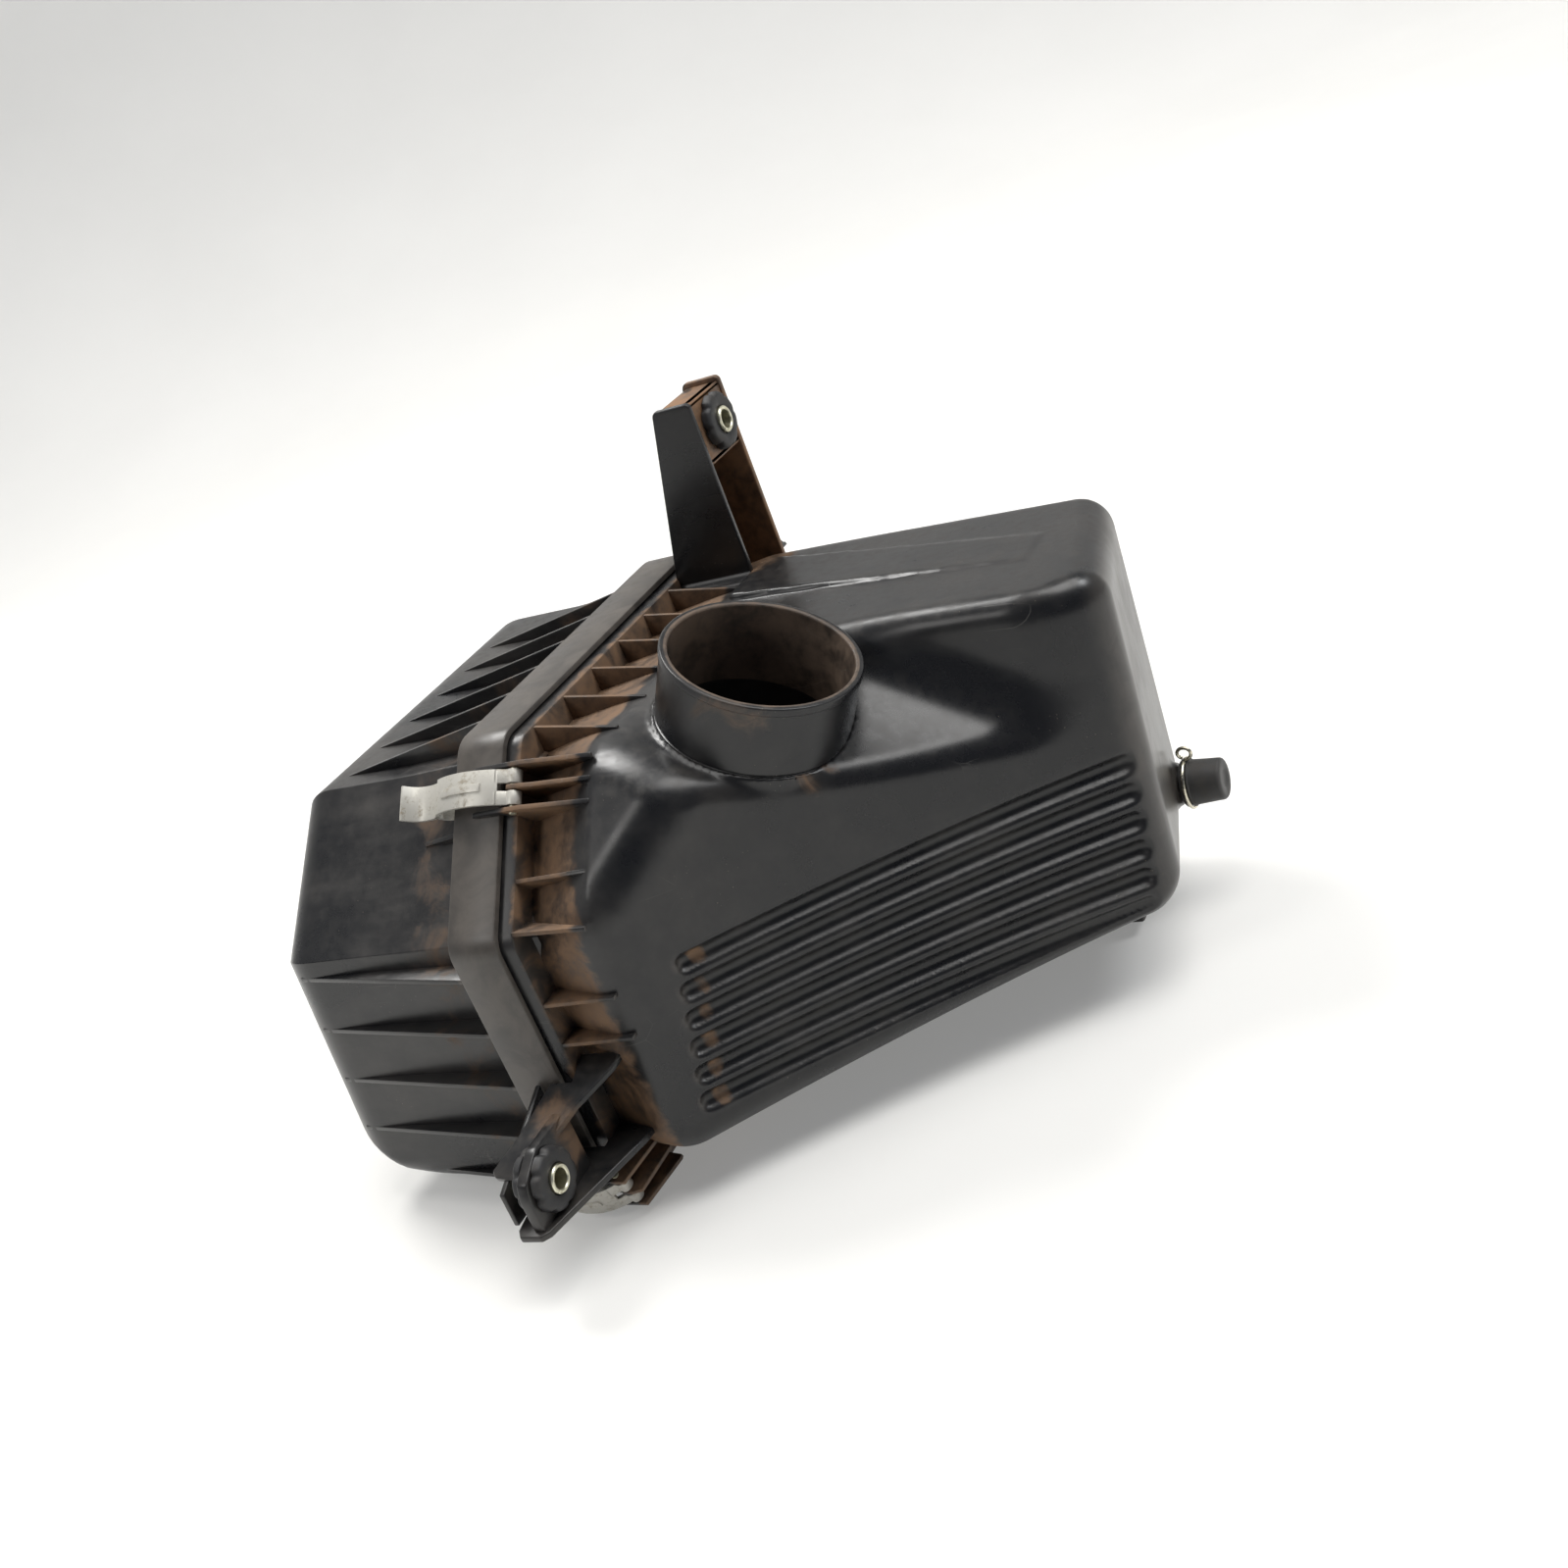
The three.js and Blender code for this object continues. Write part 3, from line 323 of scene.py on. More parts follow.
class Nodes:
    """A short way to write a node tree."""

    def __init__(self, tree, place):
        self.tree = tree
        self.place = self.new("ShaderNodeTexCoord").outputs[place]

    def new(self, kind, **values):
        node = self.tree.nodes.new(kind)
        for key, value in values.items():
            setattr(node, key, value)
        return node

    def put(self, socket, value):
        if isinstance(value, bpy.types.NodeSocket):
            self.tree.links.new(value, socket)
        elif value is not None:
            socket.default_value = value

    def math(self, operation, *values, clamp=False):
        """Takes the values two at a time, from the left."""
        total = values[0]
        for value in values[1:]:
            node = self.new("ShaderNodeMath", operation=operation, use_clamp=clamp)
            self.put(node.inputs[0], total)
            self.put(node.inputs[1], value)
            total = node.outputs[0]
        return total

    def plus(self, *values):
        return self.math("ADD", *values)

    def times(self, *values):
        return self.math("MULTIPLY", *values)

    def most(self, *values):
        return self.math("MAXIMUM", *values)

    def vector(self, operation, a, b=None, output="Vector"):
        node = self.new("ShaderNodeVectorMath", operation=operation)
        self.put(node.inputs[0], a)
        self.put(node.inputs[1], b)
        return node.outputs[output]

    def fill(self, node, **values):
        """Puts a value or a socket into each named input."""
        for key, value in values.items():
            self.put(node.inputs[key.replace("_", " ")], value)
        return node

    def noise(self, scale, detail, rough, stretch=(1, 1, 1), distort=0.0, seed=0.0):
        node = self.new("ShaderNodeTexNoise", noise_dimensions="3D")
        self.fill(node, Scale=scale, Detail=detail, Roughness=rough, Distortion=distort,
                  Vector=self.moved(stretch, seed))
        return node.outputs["Fac"]

    def voronoi(self, scale, feature="F1", stretch=(1, 1, 1), seed=0.0):
        node = self.new("ShaderNodeTexVoronoi", feature=feature)
        return self.fill(node, Scale=scale, Vector=self.moved(stretch, seed)).outputs["Distance"]

    def moved(self, stretch, seed):
        place = (seed, seed * 0.7, seed * 0.3)
        mapping = self.new("ShaderNodeMapping")
        return self.fill(mapping, Scale=stretch, Location=place, Vector=self.place).outputs[0]

    def step(self, value, low, high):
        """0 below low, 1 above high, smooth between."""
        node = self.new("ShaderNodeMapRange", interpolation_type="SMOOTHSTEP")
        return self.fill(node, From_Min=low, From_Max=high, Value=value).outputs[0]

    def mix(self, factor, a, b):
        node = self.new("ShaderNodeMix", data_type="RGBA")
        self.put(node.inputs["Factor"], factor)
        self.put(node.inputs[6], a if isinstance(a, bpy.types.NodeSocket) else (*a, 1))
        self.put(node.inputs[7], b if isinstance(b, bpy.types.NodeSocket) else (*b, 1))
        return node.outputs[2]

    def split(self, vector, name):
        node = self.new("ShaderNodeSeparateXYZ")
        self.put(node.inputs[0], vector)
        return node.outputs[name]

    def facing(self, name):
        """How far the surface faces along an axis of the object."""
        return self.split(self.new("ShaderNodeTexCoord").outputs["Normal"], name)

    def near(self, point, low, high):
        """1 within low millimetres of a point in the housing's frame, 0 beyond high."""
        away = self.vector("DISTANCE", self.place, to_row(point).tolist(), "Value")
        return self.math("SUBTRACT", 1.0, self.step(away, low / 1000, high / 1000))

    def slab(self, name, low, high, soft=4.0):
        """1 between two places on an axis, in millimetres of the housing's frame."""
        value = self.split(self.place, name)
        shift = ORIGIN["XYZ".index(name)]
        rise, fall = (self.step(value, (at - soft - shift) / 1000, (at + soft - shift) / 1000)
                      for at in (low, high))
        return self.math("SUBTRACT", rise, fall, clamp=True)

    def line(self, point, axis):
        """How far along a line through a point, and how far from it, in millimetres."""
        offset = self.vector("SUBTRACT", self.place, to_row(point).tolist())
        along = self.vector("DOT_PRODUCT", offset, Vector(axis), "Value")
        away = self.vector("LENGTH", self.vector("CROSS_PRODUCT", offset, Vector(axis)), output="Value")
        return self.times(along, 1000.0), self.times(away, 1000.0)

    def bump(self, height, strength, distance, normal=None):
        node = self.new("ShaderNodeBump")
        self.fill(node, Strength=strength, Distance=distance, Height=height, Normal=normal)
        return node.outputs[0]


class Surface(Nodes):
    """A material's node tree, round one shader."""

    def __init__(self, name):
        self.material = bpy.data.materials.new(name)
        self.material.use_nodes = True
        self.material.node_tree.nodes.clear()
        super().__init__(self.material.node_tree, "Object")
        self.shader = self.new("ShaderNodeBsdfPrincipled")
        self.put(self.new("ShaderNodeOutputMaterial").inputs["Surface"], self.shader.outputs[0])

    def finish(self, color, rough, metal=0.0, normal=None, **more):
        self.fill(self.shader, Base_Color=color, Roughness=rough, Metallic=metal, Normal=normal, **more)
        return self.material


BLACK = (0.0085, 0.0088, 0.0098)
WORN = (0.027, 0.0255, 0.0245)
DUST = (0.17, 0.1, 0.055)


def plastic(name, dust, pocket, worn=WORN, rubbed=None, tint=DUST):
    """Aged black plastic: mottled, scuffed, with brown dust lying in hollows. pocket(n) gives
    a socket that is 1 where dust gathers, rubbed(n) one that is 1 where it is worn dull."""
    n = Surface(name)
    broad = n.noise(14, 5, 0.6, seed=1.3)
    medium = n.noise(48, 5, 0.62, distort=0.6, seed=5.2)
    fine = n.noise(170, 6, 0.7, seed=4.1)
    streaks = n.noise(60, 5, 0.6, stretch=(0.35, 2.2, 1.2), seed=7.9)
    dull = n.step(n.plus(n.times(broad, 0.7), n.times(streaks, 0.3)), 0.40, 0.70)
    color = n.mix(dull, BLACK, worn)
    if rubbed:
        share = n.times(rubbed(n), n.plus(0.5, n.times(n.step(medium, 0.35, 0.65), 0.5)))
        color = n.mix(share, color, (0.082, 0.072, 0.062))
        dull = n.most(dull, share)
    film = n.times(n.step(n.facing("Z"), 0.3, 0.95), n.step(fine, 0.40, 0.78))
    color = n.mix(n.times(film, 0.16 * dust), color, (0.13, 0.112, 0.09))
    reach = n.step(n.plus(pocket(n), n.times(n.math("SUBTRACT", medium, 0.5), 1.1)), 0.30, 0.62)
    patches = n.step(n.plus(n.times(medium, 0.6), n.times(fine, 0.4)), 0.36, 0.60)
    hollow = n.times(reach, n.plus(0.28, n.times(patches, 0.72)))
    color = n.mix(n.times(hollow, dust), color, tint)
    lines = n.voronoi(55, "DISTANCE_TO_EDGE", stretch=(0.25, 1.6, 1.0), seed=2.2)
    scuffs = n.times(n.step(lines, 0.010, 0.0), n.step(n.noise(22, 3, 0.5, seed=9.4), 0.60, 0.70))
    color = n.mix(n.times(scuffs, 0.16), color, (0.22, 0.21, 0.19))
    specks = n.step(n.voronoi(420, seed=5.5), 0.09, 0.05)
    specks = n.times(specks, n.step(n.noise(30, 2, 0.5, seed=3.3), 0.55, 0.68))
    color = n.mix(n.times(specks, 0.6), color, (0.26, 0.22, 0.17))
    rough = n.plus(0.27, n.times(dull, 0.13), n.times(n.plus(n.times(film, 0.4), hollow), 0.38))
    normal = n.bump(n.noise(2600, 2, 0.5, seed=0.4), 0.16, 0.00005)
    normal = n.bump(n.noise(24, 3, 0.5, seed=6.6), 0.30, 0.0012, normal)
    normal = n.bump(scuffs, 0.2, 0.0002, normal)
    return n.finish(color, rough, 0.0, normal, Specular_IOR_Level=0.42)


def case_pockets(n):
    """Dust behind the flange, round the upper arm's root and the outlet, and in the grooves' ends."""
    high = n.plus(0.62, n.times(n.slab("Z", -50, 100, 30), 0.3))
    behind = n.times(n.slab("X", 5, 36, 8), high)
    arm_root = n.times(n.near((34, 234, -8), 12, 34), 0.8)
    outlet_foot = n.times(n.near((128, 70, -42), 6, 24), 0.5)
    spots = []
    for k in range(GROOVE["count"]):
        groove_end = (GROOVE["left"] + 3 - GROOVE["step"] * k, 29 - 1.5 * k, groove_z(k))
        spots.append(n.times(n.near(groove_end, 1, 7.5), 0.62))
    return n.most(behind, arm_root, outlet_foot, *spots)


def cover_pockets(n):
    return n.times(n.slab("X", -62, -24.5, 14), 0.36)


def cover_band(n):
    return n.slab("X", -25.5, 5, 1)


def case_end(n):
    return n.times(n.step(n.facing("X"), 0.6, 1.0), 0.55)


def arm_dust(n):
    """The channel between the arm's webs and the plate its grommet sits in."""
    channel = n.slab("Y", UPPER_ARM["front"] + 1.2, UPPER_ARM["back"] + 1.0, 0.8)
    return n.times(channel, n.step(n.facing("X"), -0.4, 0.1), 0.86)


def low_arm_dust(n):
    return n.times(n.near((4, -12, -140), 4, 26), 0.6)


def outlet_dust(n):
    """The bore's dusty wall, down to where the body's opening begins."""
    along, away = n.line(OUTLET_RIM, OUTLET_AXIS)
    inside = n.math("SUBTRACT", 1.0, n.step(away, OUTLET_R - 1.6, OUTLET_R - 0.8))
    wall = n.times(inside, n.step(along, -36.5, -36.0))
    return n.most(wall, n.times(n.near((105, 58, -12), 8, 26), 0.42))


def rubber(name, color=(0.014, 0.014, 0.015)):
    n = Surface(name)
    bloom = n.step(n.noise(90, 5, 0.65), 0.45, 0.75)
    shade = n.mix(n.times(bloom, 0.5), color, (0.075, 0.066, 0.055))
    grain = n.bump(n.noise(1500, 3, 0.6, seed=3), 0.3, 0.0001)
    return n.finish(shade, n.plus(0.55, n.times(bloom, 0.3)), 0.0, grain)


def plated(name, color, stain, rough, amount, metal=1.0):
    n = Surface(name)
    blotch = n.noise(140, 6, 0.7, seed=2)
    fine = n.noise(700, 3, 0.6, seed=8)
    stains = n.times(n.step(n.plus(n.times(blotch, 0.7), n.times(fine, 0.3)), 0.5, 0.68), amount)
    shade = n.mix(stains, color, stain)
    shine = n.math("SUBTRACT", metal, n.times(stains, 0.7 * metal))
    pits = n.bump(blotch, 0.25, 0.0002, n.bump(fine, 0.15, 0.00008))
    return n.finish(shade, n.plus(rough, n.times(stains, 0.45)), shine, pits)


def pleated_paper():
    n = Surface("paper")
    dirt = n.step(n.noise(35, 5, 0.6, seed=2), 0.4, 0.75)
    shade = n.mix(n.times(dirt, 0.5), (0.62, 0.52, 0.30), (0.24, 0.19, 0.12))
    fibres = n.bump(n.noise(900, 4, 0.7, stretch=(1, 1, 0.25)), 0.4, 0.0002)
    return n.finish(shade, 0.95, 0.0, fibres)


CASE = plastic("case_black", 0.9, case_pockets, rubbed=case_end)
COVER_BLACK = plastic("cover_black", 0.5, cover_pockets, worn=(0.045, 0.042, 0.039), rubbed=cover_band)
ARM = plastic("arm_black", 0.95, arm_dust, tint=(0.22, 0.12, 0.06))
LOW_ARM = plastic("low_arm_black", 0.6, low_arm_dust, worn=(0.036, 0.032, 0.028))
OUTLET_BLACK = plastic("outlet_black", 0.9, outlet_dust, tint=(0.125, 0.088, 0.062))
RUBBER = rubber("black_rubber")
CAP_RUBBER = rubber("cap_rubber", (0.03, 0.029, 0.028))
ZINC = plated("zinc_steel", (0.66, 0.64, 0.50), (0.30, 0.27, 0.14), 0.36, 0.5)
CLIP_STEEL = plated("clip_steel", (0.47, 0.455, 0.41), (0.20, 0.16, 0.105), 0.42, 0.75, 0.35)
WIRE = plated("wire_steel", (0.66, 0.62, 0.50), (0.30, 0.24, 0.15), 0.25, 0.5)
PAPER = pleated_paper()
FOAM = rubber("seal_foam", (0.02, 0.02, 0.021))

# ---------------- the case body, as a distance field

# Each plane is a normal, pointing out of the body, and a point on it.
PLANES = {
    "front_left": ((0.713, -0.701, -0.06), (45, 5, -70)),
    "front_right": ((0.5, -0.86, 0.1), (227, 147, -85)),
    "end": ((0.974, 0.22, -0.045), (226, 149, -85)),
    "top": ((0.036, 0, 1), (41, 0, -10)),
    "bottom": ((0.073, 0, -0.997), (35, 0, -177)),
    "ledge": (OUTLET_AXIS, OUTLET_RIM - OUTLET_AXIS * LEDGE_DEPTH),
    "ramp": ((0.407, -0.54, 0.736), (105, 102, -39.2)),
    "wall": ((0, -0.995, 0.1), (160, 139, -10)),
}
# How far the edges between the body's faces are rounded.
ROUND = {"sides": 13, "slope": 3, "cut": 10, "end": 14, "crease": 30, "ramp": 22, "wall": 14, "corner": 9}
HOLLOW = {"depth": 82, "radius": 62}
STRIP = {"from": 44, "to": 188, "front": 190, "back": 231}


def plane(name):
    normal, point = PLANES[name]
    normal = np.asarray(normal, float) / np.linalg.norm(normal)
    return normal, float(np.dot(normal, point))


def plane_distance(name, X, Y, Z):
    normal, reach = plane(name)
    return (X * normal[0] + Y * normal[1] + Z * normal[2] - reach).astype(np.float32)


def smooth_max(a, b, r):
    """The larger of two distances, with the edge between them rounded to about r."""
    reach = np.maximum(a + r, 0) ** 2 + np.maximum(b + r, 0) ** 2
    return np.minimum(-r, np.maximum(a, b)) + np.sqrt(reach)


def smooth_min(a, b, r):
    return -smooth_max(-a, -b, r)


def body_distance(X, Y, Z, wall):
    """The case's body: the rim's outline swept towards +X and cut by the slanted faces."""
    share = np.clip((X - SKIRT_TO) / (FLARE_END - SKIRT_TO), 0, 1)
    sides = []
    for ((ny, nz), reach, _), body_inset in zip(rim_edges(even(0)), BODY_INSET.values()):
        inset = SKIRT_INSET + (body_inset - SKIRT_INSET) * share + wall
        sides.append(ny * Y + nz * Z - reach + inset)
    front, bottom, back, top, cut = sides
    away = {name: plane_distance(name, X, Y, Z) for name in PLANES}
    r = ROUND["sides"]
    lower = smooth_max(bottom, away["bottom"] + wall, ROUND["slope"])
    upper = smooth_max(top, away["top"] + wall, ROUND["slope"])
    body = smooth_max(smooth_max(front, lower, r), smooth_max(back, upper, r), r)
    body = smooth_max(body, cut, ROUND["cut"])
    body = smooth_max(body, away["end"] + wall, ROUND["end"])
    hollow = smooth_min(away["front_left"], away["front_right"], ROUND["crease"])
    body = smooth_max(body, hollow + wall, ROUND["sides"])
    corner = smooth_min(away["ledge"], away["ramp"], ROUND["ramp"])
    corner = smooth_min(corner, away["wall"], ROUND["wall"])
    body = smooth_max(body, corner + wall, ROUND["corner"])
    return smooth_max(body, FLANGE["from"] - X, 0.5)


def capsule(X, Y, Z, a, b, r):
    ab = b - a
    t = ((X - a[0]) * ab[0] + (Y - a[1]) * ab[1] + (Z - a[2]) * ab[2]) / np.dot(ab, ab)
    t = np.clip(t, 0, 1)
    d = (X - a[0] - t * ab[0]) ** 2 + (Y - a[1] - t * ab[1]) ** 2 + (Z - a[2] - t * ab[2]) ** 2
    return np.sqrt(d) - r


def bisect(test, low, high):
    """Closes in on the place where test stops being true."""
    for _ in range(30):
        middle = (low + high) / 2
        if test(middle):
            low = middle
        else:
            high = middle
    return low, high


def face_point(x, z):
    """A point of the grooved front at x and z, on its rounded crease too."""
    (na, ra), (nb, rb) = plane("front_left"), plane("front_right")

    def outside(y):
        a = na[0] * x + na[1] * y + na[2] * z - ra
        b = nb[0] * x + nb[1] * y + nb[2] * z - rb
        return smooth_min(a, b, ROUND["crease"]) > 0
    low, high = bisect(outside, -50.0, 260.0)
    return np.array([x, (low + high) / 2, z])


def grooves_distance(X, Y, Z):
    """Long grooves, sunk into the front along its crease and all."""
    best = np.inf
    (na, _), (nb, _) = plane("front_left"), plane("front_right")
    lift = (na + nb) / np.linalg.norm(na + nb) * (GROOVE["radius"] - GROOVE["sunk"])
    for k in range(GROOVE["count"]):
        xs = np.linspace(GROOVE["left"] - GROOVE["step"] * k, GROOVE["right"] - k, 12)
        path = [face_point(x, groove_z(k)) + lift for x in xs]
        for a, b in zip(path[:-1], path[1:]):
            best = np.minimum(best, capsule(X, Y, Z, a, b, GROOVE["radius"]))
    return best


def cylinder(X, Y, Z, base, axis, radius, start, end):
    dx, dy, dz = X - base[0], Y - base[1], Z - base[2]
    along = dx * axis[0] + dy * axis[1] + dz * axis[2]
    square = dx * dx + dy * dy + dz * dz - along * along
    side = np.sqrt(np.maximum(square, 0)) - radius
    return np.maximum(side, np.maximum(start - along, along - end))


def case_distance(X, Y, Z):
    body = body_distance(X, Y, Z, 0.0)
    groove = grooves_distance(X, Y, Z)
    body = smooth_max(body, -groove, 1.0)
    along = X - STRIP["from"]
    sides = np.maximum(STRIP["front"] - 0.067 * along - Y, Y - STRIP["back"] + 0.17 * along)
    ends = np.maximum(-along, X - STRIP["to"])
    strip = np.maximum(np.maximum(sides, Z + 7.4 + 0.053 * along), ends)
    body = smooth_min(body, strip, 1.0)
    foot = cylinder(X, Y, Z, OUTLET_RIM, OUTLET_AXIS, OUTLET_R + 1.2, -OUTLET_LENGTH, -LEDGE_DEPTH + 1.2)
    body = smooth_min(body, foot, 2.0)
    root = cylinder(X, Y, Z, (0, NIPPLE["y"], NIPPLE["z"]), (1, 0, 0), NIPPLE["outer"] + 1.6,
                    NIPPLE["root"], NIPPLE["foot"])
    body = smooth_min(body, root, 3.0)
    bore = cylinder(X, Y, Z, OUTLET_RIM, OUTLET_AXIS, OUTLET_R - 1.2, -OUTLET_LENGTH - 2, 60)
    body = np.maximum(body, -bore)
    hollow = OUTLET_RIM - OUTLET_AXIS * HOLLOW["depth"]
    ball = np.sqrt((X - hollow[0]) ** 2 + (Y - hollow[1]) ** 2 + (Z - hollow[2]) ** 2) - HOLLOW["radius"]
    inner = np.maximum(body_distance(X, Y, Z, WALL + 1.0), WALL + 1.0 - groove)
    return np.maximum(body, -np.maximum(ball, inner))


def sample_grid(distance, low, high, step):
    axes = [np.arange(low[i], high[i] + step, step, dtype=np.float32) for i in range(3)]
    X, Y, Z = np.meshgrid(*axes, indexing="ij", sparse=True)
    values = distance(X, Y, Z)
    return np.asarray(values, np.float32), np.asarray(low, float)


def surface_net(values, low, step):
    """A quad mesh on the zero surface of a sampled distance field."""
    shape = values.shape
    inside = values < 0
    total = values.size
    sums = np.zeros((3, total))
    counts = np.zeros(total)
    edges = []
    for axis in range(3):
        a = [slice(None)] * 3
        b = [slice(None)] * 3
        a[axis], b[axis] = slice(0, -1), slice(1, None)
        crossing = inside[tuple(a)] != inside[tuple(b)]
        i, j, k = np.nonzero(crossing)
        start = values[tuple(a)][i, j, k]
        end = values[tuple(b)][i, j, k]
        t = start / (start - end)
        point = np.stack([i, j, k]).astype(float)
        point[axis] += t
        others = [x for x in range(3) if x != axis]
        idx = np.stack([i, j, k])
        keep = (idx[others[0]] > 0) & (idx[others[1]] > 0)
        point, idx, begins_in = point[:, keep], idx[:, keep], (start < 0)[keep]
        ring = []
        for d0, d1 in ((0, 0), (1, 0), (1, 1), (0, 1)):
            cell = idx.copy()
            cell[others[0]] -= d0
            cell[others[1]] -= d1
            number = np.ravel_multi_index(cell, shape)
            ring.append(number)
            counts += np.bincount(number, minlength=total)
            for c in range(3):
                sums[c] += np.bincount(number, weights=point[c], minlength=total)
        flip = begins_in ^ (axis == 1)
        quads = np.stack(ring, 1)
        quads[flip] = quads[flip][:, ::-1]
        edges.append(quads)
    quads = np.concatenate(edges)
    used = np.unique(quads)
    points = (sums[:, used] / counts[used]).T * step + low
    lookup = np.zeros(total, np.int64)
    lookup[used] = np.arange(len(used))
    return points, lookup[quads]


def relax(points, quads):
    """Evens out a quad mesh: each point goes half way to the middle of its neighbours."""
    a = np.concatenate([quads[:, i] for i in range(4)])
    b = np.concatenate([quads[:, (i + 1) % 4] for i in range(4)])
    ends, other = np.concatenate([a, b]), np.concatenate([b, a])
    counts = np.bincount(ends, minlength=len(points))[:, None]
    sums = np.stack([np.bincount(ends, weights=points[other, c], minlength=len(points)) for c in range(3)], 1)
    return points + 0.5 * (sums / counts - points)


def project(points, values, low, step):
    """Moves points onto the field's zero surface."""
    at = (points - low) / step
    base = np.clip(np.floor(at).astype(int), 0, np.array(values.shape) - 2)
    f = at - base
    i, j, k = base.T
    v = np.array([[[values[i + a, j + b, k + c] for c in (0, 1)] for b in (0, 1)] for a in (0, 1)])
    fx, fy, fz = f.T

    def mix(pair, t):
        return pair[0] + (pair[1] - pair[0]) * t
    plane_x = mix(v, fx)
    row = mix(plane_x, fy)
    value = mix(row, fz)
    gx = mix(mix(v[1] - v[0], fy), fz)
    gy = mix(plane_x[1] - plane_x[0], fz)
    gz = row[1] - row[0]
    gradient = np.stack([gx, gy, gz], 1) / step
    size = np.maximum((gradient ** 2).sum(1), 0.25)
    shift = gradient * (value / size)[:, None]
    length = np.linalg.norm(shift, axis=1)[:, None]
    return points - shift * np.minimum(1, 0.5 * step / np.maximum(length, 1e-9))


def case_body():
    """The body, solid but for the grooves, the bore and the part of the hollow seen down it."""
    step = 1.5
    low, high = (-5, -4, -196), (246, 266, 8)
    values, low = sample_grid(case_distance, low, high, step)
    points, quads = surface_net(values, low, step)
    points = project(relax(points, quads), values, low, step)
    mesh = bpy.data.meshes.new("case_body")
    mesh.from_pydata(to_row(points).tolist(), [], quads.tolist())
    return add_object("case_body", mesh, CASE, "case")


def case_outlet():
    r, w = OUTLET_R, OUTLET_WALL
    lip = arc(-0.9, r - 0.2, 0.9, 0, 90, 4)
    profile = [(-OUTLET_LENGTH, r - w), (-1.2, r - w)] + arc(-1.0, r - w + 1.0, 1.0, -90, 0, 4)
    profile += [(0, r - 0.3)] + lip + [(-3.2, r + 0.7), (-3.9, r + 0.1), (-LEDGE_DEPTH + 2.4, r)]
    profile += [(-LEDGE_DEPTH + 2.1, r - 0.5), (-LEDGE_DEPTH + 1.6, r - 0.5), (-LEDGE_DEPTH + 1.3, r),
                (-OUTLET_LENGTH, r)]
    b = Build()
    b.turned(profile, OUTLET_RIM, OUTLET_AXIS, 96)
    return b.make("case_outlet", OUTLET_BLACK, "case", angle=35)


def sweep(build, profile, outline):
    """Sweeps a closed profile of (x, inset or growth) points round an outline."""
    build.rings([[(x, y, z) for y, z in outline(size)] for x, size in profile], close=True)


def case_flange():
    b = Build()
    f, t, i = FLANGE["from"], FLANGE["to"], FLANGE["inset"]
    profile = [(f, 17.0), (f, i + 0.8), (f + 0.8, i), (t - 1.0, i), (t - 0.3, i + 0.3), (t, i + 1.0),
               (t, 15.5), (t + 2, 16.5)]
    sweep(b, profile, rim)
    return b.make("case_flange", CASE, "case", angle=35)


# ---------------- ribs, ears and arms

TOP_RIBS = {"first": 73.0, "pitch": 26.3, "count": 6}
FRONT_RIBS = {"first": -95.0, "pitch": -19.5, "count": 2}
CLIP = {"width": 14.6, "thick": 1.5, "pin_x": 7.0, "lift": 0.6, "pin_r": 1.6, "spread": 9.3, "ear": 2.0}


def rib_places(row):
    """Where each rib of an even row stands."""
    return [row["first"] + row["pitch"] * k for k in range(row["count"])]


def case_ribs():
    b = Build()
    start, floor = FLANGE["to"] - 1, SKIRT_INSET + 1
    inset = FLANGE["inset"] + 0.5
    half = 0.9
    for y in rib_places(TOP_RIBS):
        end, top = FLARE_END + 2, -BODY_INSET["top"]
        b.prism_y([(start, -floor), (end, top - 2), (end, top - 0.3), (start, -inset)], y - half, y + half)
    for z in rib_places(FRONT_RIBS):
        end, front = FLARE_END - 3, BODY_INSET["front"] + 1.2
        b.prism_z([(start, inset), (end, front), (end, floor - 4), (start, floor)], z - half, z + half)
    rib = [(start, -floor), (FLARE_END, -3), (FLARE_END, -1.3), (start, -inset)]
    b.across_rim(cut_station(61), rib, 2 * half)
    y, z = RIM["cut_y"] * 3 / CUT_LENGTH, -RIM["cut_z"] * (CUT_LENGTH - 3) / CUT_LENGTH
    b.across_rim(station(y, z, -RIM["cut_z"] - 30, 20), rib, 2 * half)
    for name, place in STATIONS.items():
        clip_plates(b, place, *CLIP_BODY[name])
    ribs = b.make("case_ribs", CASE, "case")
    bevel(ribs, 0.35, 2)
    return ribs


def clip_plates(b, place, end_x, depth):
    foot = -SKIRT_INSET - 1
    x = CLIP["pin_x"]
    end = [(end_x - 8, min(foot + 4, -depth - 3)), (end_x, -depth - 1.6), (end_x, -depth)]
    left = FLANGE["from"] + 4.5
    ear = [(left, foot)] + end + [(x + 5, 4), (-9, 3.4), (-12, 2.6), (-13, 1.4), (-12.4, 0.7), (left, 0.7)]
    for side in (-1, 1):
        b.across_rim(place, ear, CLIP["ear"], side * CLIP["spread"])
    middle = [(x - 3.4, foot)] + end + [(x + 8, 2.4), (x + 2.5, 3.8), (x - 1.5, 3.8), (x - 3.4, 1.5)]
    b.across_rim(place, middle, CLIP["ear"])


